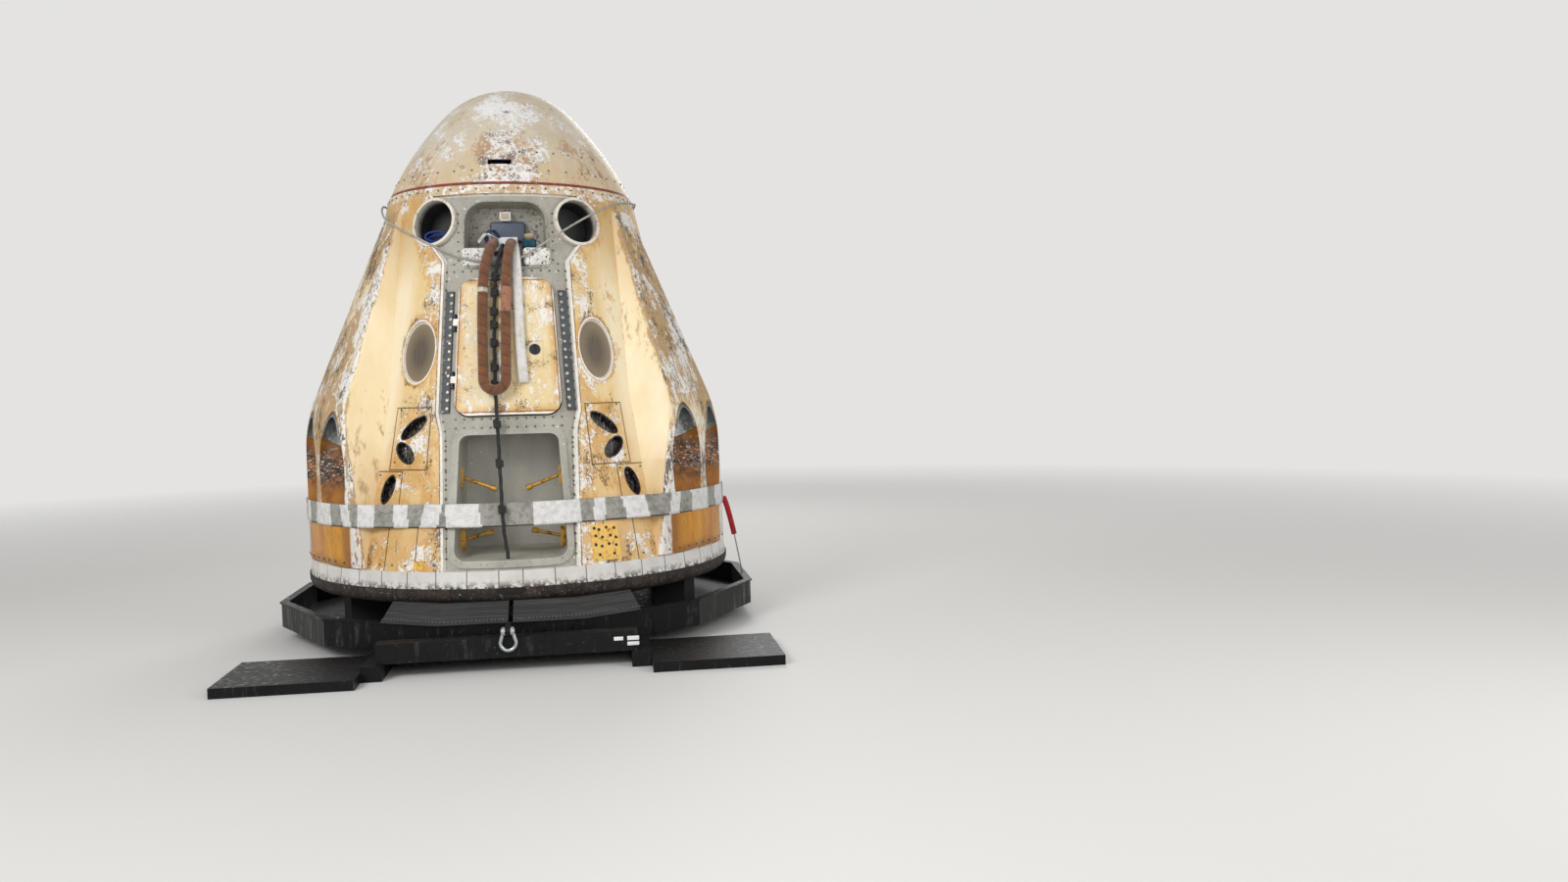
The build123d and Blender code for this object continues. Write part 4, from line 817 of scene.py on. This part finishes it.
# Belt: a grey webbing with white cloth tape wrapped round it; wraps are pairs of azimuths
belt = {"low": 0.500, "high": 0.700, "margin": 0.002, "stand": 0.0012, "step": 0.5, "rows": 9,
        "wrapOut": 0.0035, "wrinkle": 0.0016, "pucker": 0.0032, "lean": 1.1, "length": 12.27,
        "startAzimuth": -43, "thickness": 0.0015,
        "wraps": [(-40.8, -36.3), (-31.4, -27.3), (-23.4, -18.4), (-16.8, -7.6), (5.9, 18.4), (22.2, 25.4),
                  (30.7, 37.0), (43.6, 47.3), (52.4, 61.4), (66.7, 74.5), (83, 91), (95, 99), (106, 116),
                  (121, 125), (133, 141), (147, 158), (163, 168), (176, 187), (192, 196), (203, 212),
                  (218, 229), (233, 238), (246, 256), (262, 266), (273, 284), (288.5, 293), (299, 308),
                  (313, 316.5)]}


def wrappedAt(azimuth, share):  # whether tape covers this place; each wrap leans its own way
    for i, (low, high) in enumerate(belt["wraps"]):
        lean = belt["lean"] * math.sin(2.4 * i) * (share - 0.5)
        if low <= azimuth + lean <= high:
            return True
    return False


def finishSheet(piece, thickness, offset=-1):
    bpy.ops.object.select_all(action="DESELECT")
    solid = piece.modifiers.new("thickness", "SOLIDIFY")
    solid.thickness, solid.offset = thickness, offset
    bpy.context.view_layer.objects.active = piece
    piece.select_set(True)
    bpy.ops.object.modifier_apply(modifier="thickness")
    piece.select_set(False)


def fromFront(piece, x, z):  # where a ray from the front meets a piece, and the normal there
    found, place, normal = piece.ray_cast(Vector((x, -3.0, z)), Vector((0, 1, 0)))[:3]
    return (place, normal) if found else None


def inwards(piece, azimuth, z):  # where a ray towards the axis meets a piece, and the normal there
    found, place, normal = piece.ray_cast(around(3.0, azimuth, z), -around(1, azimuth, 0))[:3]
    return (place, normal) if found else None


def beltLift(azimuth, share):  # how far the belt's face stands off what it lies on
    wrinkle = math.sin(azimuth * 1.9 + 2.2 * share) * math.sin(azimuth * 0.83 + 5.0 * share)
    lift = belt["stand"] + wrinkle * belt["wrinkle"]
    if wrappedAt(azimuth, share):
        pucker = abs(math.sin(azimuth * 4.7 + 3.0 * math.sin(azimuth + 4 * share)))
        lift += belt["wrapOut"] + belt["pucker"] * pucker * draw.random()
    return lift


def makeBelt():
    form = bmesh.new()
    layer = form.loops.layers.uv.new("along")
    low, tall = zOf(belt["low"] + belt["margin"]), belt["high"] - belt["low"] - 2 * belt["margin"]
    strips, grid, total = belt["rows"] - 1, [], 0.0
    rise = (belt["high"] - belt["low"]) / strips
    for i in range(round(360 / belt["step"])):
        azimuth = i * belt["step"] + belt["startAzimuth"]
        column = []
        for share in [k / strips for k in range(belt["rows"])]:
            place = inwards(nodes["belt"], azimuth, low + tall * share)[0]
            column.append(form.verts.new(place + around(beltLift(azimuth, share), azimuth, 0)))
        grid.append((column, azimuth))
    for (first, azimuth), (second, _) in zip(grid, grid[1:] + grid[:1]):
        width = (first[4].co - second[4].co).length
        for k in range(strips):
            face = form.faces.new((first[k], second[k], second[k + 1], first[k + 1]))
            for loop, (u, v) in zip(face.loops, ((0, k), (1, k), (1, k + 1), (0, k + 1))):
                loop[layer].uv = (total + u * width, v * rise)
            face.material_index = int(wrappedAt(azimuth + belt["step"] / 2, (k + 0.5) / strips))
        total += width
    webbing = fabric("greyPolyesterWebbing", "aaa79f", "77746d", 0.009, 0.15, edged="3a3835")
    piece = linkedPiece("webbing_belt", meshFrom(form, "webbing_belt"), webbing, "capsule")
    piece.data.materials.append(fabric("whiteClothTape", "efeeec", "cbc8c2", 0.012, 0.05))
    finishSheet(piece, belt["thickness"])
    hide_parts("belt")
    print("belt length", round(total, 3))


makeBelt()

# Flat ribbons: a blank one down the hatch, and two short ties beside the riser fitting.
# Folds are degrees, top and foot.
ribbons = [
    {"name": "hatch_ribbon", "width": 0.088, "thickness": 0.0012, "length": 1.407, "folds": (74, 6),
     "colours": ("ebe8e2", "cfc8bb"), "bend": ontoHatch, "held": "hung", "on": ["side_hatch"], "route": [
         (0.085, -1.122, 3.570), (0.088, -1.200, 3.555), (0.094, -1.315, 3.450), (0.098, -1.372, 3.300),
         (0.104, -1.428, 3.050), (0.112, -1.500, 2.750), (0.124, -1.562, 2.500), (0.140, -1.607, 2.310)]},
    {"name": "navy_tie", "width": 0.050, "thickness": 0.0015, "length": 0.268, "folds": (50, 35),
     "colours": ("1f2b4c", "39466b"), "bend": None, "held": "folded", "on": ["riser_fitting"], "route": [
         (-0.060, -1.118, 3.610), (-0.085, -1.150, 3.665), (-0.135, -1.165, 3.670),
         (-0.172, -1.170, 3.620), (-0.160, -1.180, 3.565), (-0.130, -1.190, 3.535)]},
    {"name": "white_tie", "width": 0.045, "thickness": 0.0015, "length": 0.247, "folds": (40, 55),
     "colours": ("e9e7e3", "b9b5ad"), "bend": None, "held": "folded", "on": ["riser_fitting"], "route": [
         (-0.075, -1.122, 3.600), (-0.110, -1.200, 3.610), (-0.165, -1.215, 3.640),
         (-0.205, -1.205, 3.600), (-0.235, -1.215, 3.555)]},
]


def makeRibbon(ribbon):
    path = splinePoints(ribbon["route"], 6)
    form = bmesh.new()
    top, foot = ribbon["folds"]
    step = ribbon["width"] / 4
    rows, along = [], 0.0
    for i, point in enumerate(path):
        along += (point - path[i - 1]).length if i else 0.0
        way = wayAt(path, i)
        side = (Vector((1, 0, 0)) - way * way.x).normalized()
        out = side.cross(way)
        out = out if out.y < 0 else -out
        angle = math.radians(top + (foot - top) * min(1, i / (len(path) - 1) * 2.2))
        across, lift = side * step * math.cos(angle), out * step * math.sin(angle)
        rows.append(([form.verts.new(point + across * (k - 2) + lift * (k % 2)) for k in range(5)], along))
    facesBetween(form, rows, step)
    tape = fabric(ribbon["name"].split("_")[0] + "NylonTape", *ribbon["colours"], 0.006, 0.1)
    body = None if ribbon["bend"] else "capsule"
    piece = linkedPiece(ribbon["name"], meshFrom(form, ribbon["name"]), tape, body)
    finishSheet(piece, ribbon["thickness"], 0)
    if ribbon["bend"]:
        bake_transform(piece)
    print(ribbon["name"], "length", round(along, 3))


for ribbon in ribbons:
    makeRibbon(ribbon)
print("belt and ribbons made")


# Bolts and other small fittings
def boltTemplate(radius, tall, sides=8):
    bpy.ops.object.select_all(action="DESELECT")
    bpy.ops.mesh.primitive_cylinder_add(vertices=sides, radius=radius, depth=tall, location=(0, 0, tall / 2))
    bolt = bpy.context.object
    bpy.ops.object.mode_set(mode="EDIT")
    bpy.ops.mesh.select_all(action="DESELECT")
    form = bmesh.from_edit_mesh(bolt.data)
    for face in form.faces:
        face.select = face.normal.z > 0.9
    bmesh.update_edit_mesh(bolt.data)
    bpy.ops.mesh.inset(thickness=radius * 0.28, depth=0)
    bpy.ops.transform.translate(value=(0, 0, tall * 0.35))
    bpy.ops.object.mode_set(mode="OBJECT")
    bpy.ops.object.transform_apply(location=True, rotation=True, scale=True)
    mesh = bolt.data.copy()
    bpy.data.objects.remove(bolt)
    return mesh


def copies(name, template, hits, paint, body):  # the template on each place hit, along its normal
    form = bmesh.new()
    for place, normal in filter(None, hits):
        one = template.copy()
        one.transform(Matrix.Translation(place) @ normal.to_track_quat("Z", "Y").to_matrix().to_4x4())
        form.from_mesh(one)
        bpy.data.meshes.remove(one)
    return linkedPiece(name, meshFrom(form, name), paint, body, smooth=False)


def frameHalf(height):  # half width of the grey frame at a height
    for (low, first), (high, second) in zip(frameEdge, frameEdge[1:]):
        if low <= height <= high:
            return first + (second - first) * (height - low) / (high - low)


def frameSpots():  # x, height, and how far ahead of the axis the frame's face has to be
    levels = [0.24 + 0.082 * i for i in range(31)]
    spots = [(side * (frameHalf(height) - 0.022), height, 0.0) for height in levels for side in (-1, 1)]
    spots += [(i * 0.075, height, 1.2) for i in range(-6, 7) for height in (1.33, 1.405, 2.70, 2.765)]
    spots += [(side * 0.535, 0.30 + 0.11 * i, 0.0) for i in range(9) for side in (-1, 1)]
    return spots + [(side * 0.41, 2.80 + 0.085 * i, 1.1) for i in range(7) for side in (-1, 1)]


skinSpots = [  # azimuth and height
    (24.5, 1.50), (34.5, 1.50), (24.5, 1.05), (34.5, 1.05), (32, 0.94), (39.3, 0.94)]


def skinHits():
    hits = []
    for quarter, (base, mirrored) in quarters.items():
        pod, panel = nodes[quarter + "_pod"], nodes[quarter + "_panel"]
        for azimuth in range(19, 80, 4):
            hit = inwards(pod, base + mirrored * azimuth, zOf(0.19))
            if not hit and azimuth < 39:
                hit = inwards(panel, base + mirrored * azimuth, zOf(0.19))
            hits.append(hit)
        for azimuth, height in skinSpots:
            hits.append(inwards(panel, base + mirrored * azimuth, zOf(height)))
    return hits


def makeBolts():
    steel = plainFinish("darkBoltSteel", "57544e", "8a857b", 0.7, 0.4, 0.3, 0.01)
    zinc = plainFinish("paleBoltSteel", "b7b2a6", "6c665c", 0.6, 0.4, 0.4, 0.01)
    small, large = boltTemplate(0.009, 0.005), boltTemplate(0.016, 0.008)
    onFrame = [(fromFront(nodes["front_frame"], x, zOf(height)), ahead) for x, height, ahead in frameSpots()]
    inChannels = []
    for side in (-1, 1):
        for height in [1.50 + i * 0.0705 for i in range(15)]:
            middle = side * (hatch["halfFoot"] - 0.0521 * (height - hatch["foot"]) + 0.080)
            for aside in (-0.027, 0.027):
                inChannels.append(fromFront(nodes["riser_channels"], middle + aside, zOf(height)))
    onNose = [inwards(nodes["nose_cone"], azimuth, zOf(3.62)) for azimuth in range(-177, 180, 9)]
    onNose += [inwards(nodes["nose_cone"], azimuth, zOf(3.80)) for azimuth in range(8, 60, 9)]
    onRing = [inwards(nodes["upper_ring"], azimuth, zOf(3.445)) for azimuth in range(-180, 180, 6)]
    onBumper = [inwards(nodes["nest_bumper"], i * 0.8, 0.372) for i in range(-36, 37)]
    onFrame = [hit for hit, ahead in onFrame if hit and hit[0].y < -ahead]
    copies("frame_bolts", small, onFrame, steel, "capsule")
    copies("channel_bolts", large, inChannels, zinc, "capsule")
    copies("ring_bolts", small, onRing, steel, "capsule")
    copies("nose_bolts", small, onNose, steel, "nose_cone")
    copies("skin_bolts", small, skinHits(), steel, "capsule")
    copies("bumper_bolts", small, onBumper, steel, "capsule")


makeBolts()
print("bolts made")


# Loose things in the open bays, and plates on the skin and the front beam
def rounded(name, rounding, paint):  # the primitive just added, with rounded edges
    piece = bpy.context.object
    piece.name = name
    bpy.ops.object.transform_apply(location=True, rotation=True, scale=True)
    bpy.ops.object.mode_set(mode="EDIT")
    bpy.ops.mesh.select_all(action="SELECT")
    bpy.ops.mesh.bevel(offset=rounding, segments=3, affect="EDGES")
    bpy.ops.object.mode_set(mode="OBJECT")
    piece.data.materials.append(paint)
    piece.data.shade_smooth()
    piece.select_set(False)
    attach(piece, "capsule")


def roundedBlock(name, centre, size, rounding, paint, turn=(0, 0, 0)):
    bpy.ops.object.select_all(action="DESELECT")
    turned = [math.radians(degrees) for degrees in turn]
    bpy.ops.mesh.primitive_cube_add(size=1, location=centre, rotation=turned)
    bpy.context.object.scale = size
    rounded(name, rounding, paint)


def makeAlcoveThings():
    foam = speckledFoam("sootSpeckledFoam", "efece6", "232325", 0.30)
    white = plainFinish("whiteNylonBlock", "e9e7e2", "8d8a84", 0.0, 0.55, 0.3, 0.02)
    navy = plainFinish("slateAnodisedPlate", "4a5160", "646b78", 0.3, 0.5)
    face = plainFinish("tanTagFace", "b8a893", "6c5f50", 0.0, 0.6, 0.3, 0.01)
    teal = plainFinish("tealEnamelFitting", "1d5e72", "0f3644", 0.3, 0.35, 0.4, 0.02)
    tan = plainFinish("tanSealedCap", "cdb892", "8d7a5a", 0.0, 0.6)
    for side, name in ((-1, "alcove_pad_left"), (1, "alcove_pad_right")):
        roundedBlock(name, (side * 0.262 + 0.004, -1.185, 3.420), (0.240, 0.170, 0.172), 0.035, foam,
                     (-6, 0, 4 * side))
    roundedBlock("riser_plate", (0.010, -0.985, 3.675), (0.310, 0.046, 0.190), 0.022, navy)
    for name, y, size, rounding, paint in (("blank_tag_block", -1.010, (0.098, 0.060, 0.082), 0.008, white),
                                           ("blank_tag_face", -1.041, (0.072, 0.006, 0.058), 0.002, face)):
        roundedBlock(name, (-0.008, y, 3.812), size, rounding, paint)
    for name, z, radius, tall, paint in (("teal_fitting", 3.535, 0.062, 0.110, teal),
                                         ("teal_fitting_cap", 3.612, 0.044, 0.050, tan)):
        bpy.ops.object.select_all(action="DESELECT")
        bpy.ops.mesh.primitive_cylinder_add(vertices=28, radius=radius, depth=tall,
                                            location=(0.205, -1.170, z), rotation=(math.radians(12), 0, 0))
        rounded(name, radius * 0.22, paint)


makeAlcoveThings()

# A hank of blue cord, loose in the left drogue tube.
# Each turn has its half width, half height, depth and sideways shift.
blueCord = {"radius": 0.006, "middle": (-0.612, -0.985, 3.640), "steps": 12,
            "start": [(0.010, 0.090, -0.058), (0.030, 0.060, -0.045)], "end": (0.040, 0.080, -0.052),
            "turns": [(0.104, 0.046, -0.035, 0.00), (0.082, 0.052, -0.012, -0.025),
                      (0.096, 0.038, 0.010, 0.018), (0.070, 0.050, 0.032, -0.014),
                      (0.088, 0.042, 0.052, 0.010)]}


def makeBlueCord():
    route = list(blueCord["start"])
    for i, (wide, tall, deep, aside) in enumerate(blueCord["turns"]):
        for share in [k / blueCord["steps"] for k in range(blueCord["steps"])]:
            angle = 2 * math.pi * share + 0.35 * i
            across, up = aside + wide * math.cos(angle), -0.010 * i + tall * math.sin(angle)
            route.append((across, deep + 0.022 * share, up))
    route.append(blueCord["end"])
    path = splinePoints([Vector(blueCord["middle"]) + Vector(point) for point in route], 5)
    mesh, length = tubeMesh("blue_cord", path, blueCord["radius"], 8)
    paint = fabric("blueBraidedCord", "2452b0", "16357a", 0.004, 0.1, "along", 0.7)
    piece = linkedPiece("blue_cord", mesh, paint, "capsule")
    print("blue cord", round(length, 3))


makeBlueCord()

# Tie-down at the right: a steel cable from the belt to the nest's rim, in a red padded sleeve above
tieDown = {"cable": 0.007, "sleeve": 0.027, "sleeveFrom": 0.05, "sleeveTo": 0.46,
           "points": [  # azimuth, distance from the axis, z
               (86.5, 1.920, 1.170), (86.5, 1.990, 1.130), (86.6, 2.026, 1.020), (86.8, 2.060, 0.880),
               (87.0, 2.090, 0.740), (87.2, 2.116, 0.600), (87.4, 2.142, 0.460), (87.5, 2.160, 0.352)]}


def makeTieDown():
    route = [around(radius, azimuth, z) for azimuth, radius, z in tieDown["points"]]
    bpy.context.view_layer.update()
    route[0] = inwards(bpy.data.objects["webbing_belt"], tieDown["points"][0][0], route[0].z)[0]
    path = splinePoints(route, 8)
    mesh, length = tubeMesh("tie_down_cable", path, tieDown["cable"], 10, 3, 0.06)
    wire = plainFinish("steelWireRope", "9a9c9e", "55575a", 0.9, 0.35, 0.3, 0.01)
    cable = linkedPiece("tie_down_cable", mesh, wire, "capsule")
    along, covered = 0.0, []
    for first, second in zip(path, path[1:]):
        along += (second - first).length
        if tieDown["sleeveFrom"] <= along <= tieDown["sleeveTo"]:
            covered.append(second)
    mesh = tubeMesh("tie_down_sleeve", covered, tieDown["sleeve"], 16)[0]
    red = fabric("redNylonSleeve", "c41e28", "8e1219", 0.008, 0.15)
    sleeve = linkedPiece("tie_down_sleeve", mesh, red, "capsule")
    print("tie-down", round(length, 3))


makeTieDown()


def skinPlate(name, node, azimuths, heights, paint, columns=8, rows=6):  # a thin plate that follows the skin
    form = bmesh.new()
    grid = []
    for i in range(columns + 1):
        azimuth = azimuths[0] + (azimuths[1] - azimuths[0]) * i / columns
        levels = [zOf(heights[0] + (heights[1] - heights[0]) * k / rows) for k in range(rows + 1)]
        grid.append([form.verts.new(inwards(nodes[node], azimuth, z)[0]) for z in levels])
    for first, second in zip(grid, grid[1:]):
        for k in range(rows):
            form.faces.new((first[k], second[k], second[k + 1], first[k + 1]))
    plate = linkedPiece(name, meshFrom(form, name), paint, "capsule", smooth=False)
    finishSheet(plate, plateThickness, 1)


plateThickness = 0.006
bracketHoles = [  # azimuth and height
    (21.6, 0.44), (22.9, 0.425), (25.0, 0.44), (27.2, 0.43), (21.8, 0.375), (23.6, 0.36), (25.9, 0.37),
    (27.4, 0.35), (21.6, 0.30), (23.2, 0.285), (25.2, 0.30), (27.2, 0.285), (22.4, 0.215), (26.4, 0.215)]
beamLabels = [  # name, x, z, width, height
    ("beam_label_left", 0.868, 0.222, 0.075, 0.030), ("beam_label_right", 0.985, 0.222, 0.095, 0.034),
    ("beam_label_low", 0.985, 0.178, 0.095, 0.030)]


def makePlates():
    yellow = plainFinish("yellowBracketPaint", "e3b54d", "b57a25", 0.0, 0.4, 0.3, 0.04)
    skinPlate("yellow_bracket", "front_right_panel", (20.6, 28.4), (0.165, 0.470), yellow)
    skinPlate("yellow_tab", "front_left_panel", (-24.6, -21.4), (0.155, 0.225), yellow, 3, 2)
    hits = [inwards(nodes["front_right_panel"], azimuth, zOf(height)) for azimuth, height in bracketHoles]
    hits = [(place + normal * plateThickness, normal) for place, normal in hits]
    dark = plainFinish("darkBracketHoles", "2b2218", "4b3a22", 0.2, 0.6)
    copies("bracket_holes", boltTemplate(0.014, 0.0012, 12), hits, dark, "capsule")
    blank = plainFinish("blankWhiteLabel", "e6e5e2", "c9c7c2", 0.0, 0.5, 0.2, 0.01)
    front = fromFront(nodes["nest_front_beam"], 0.95, 0.20)[0].y
    for name, x, z, width, tall in beamLabels:
        roundedBlock(name, (x, front - 0.0012, z), (width, 0.0024, tall), 0.0008, blank)


makePlates()
print("fittings made")
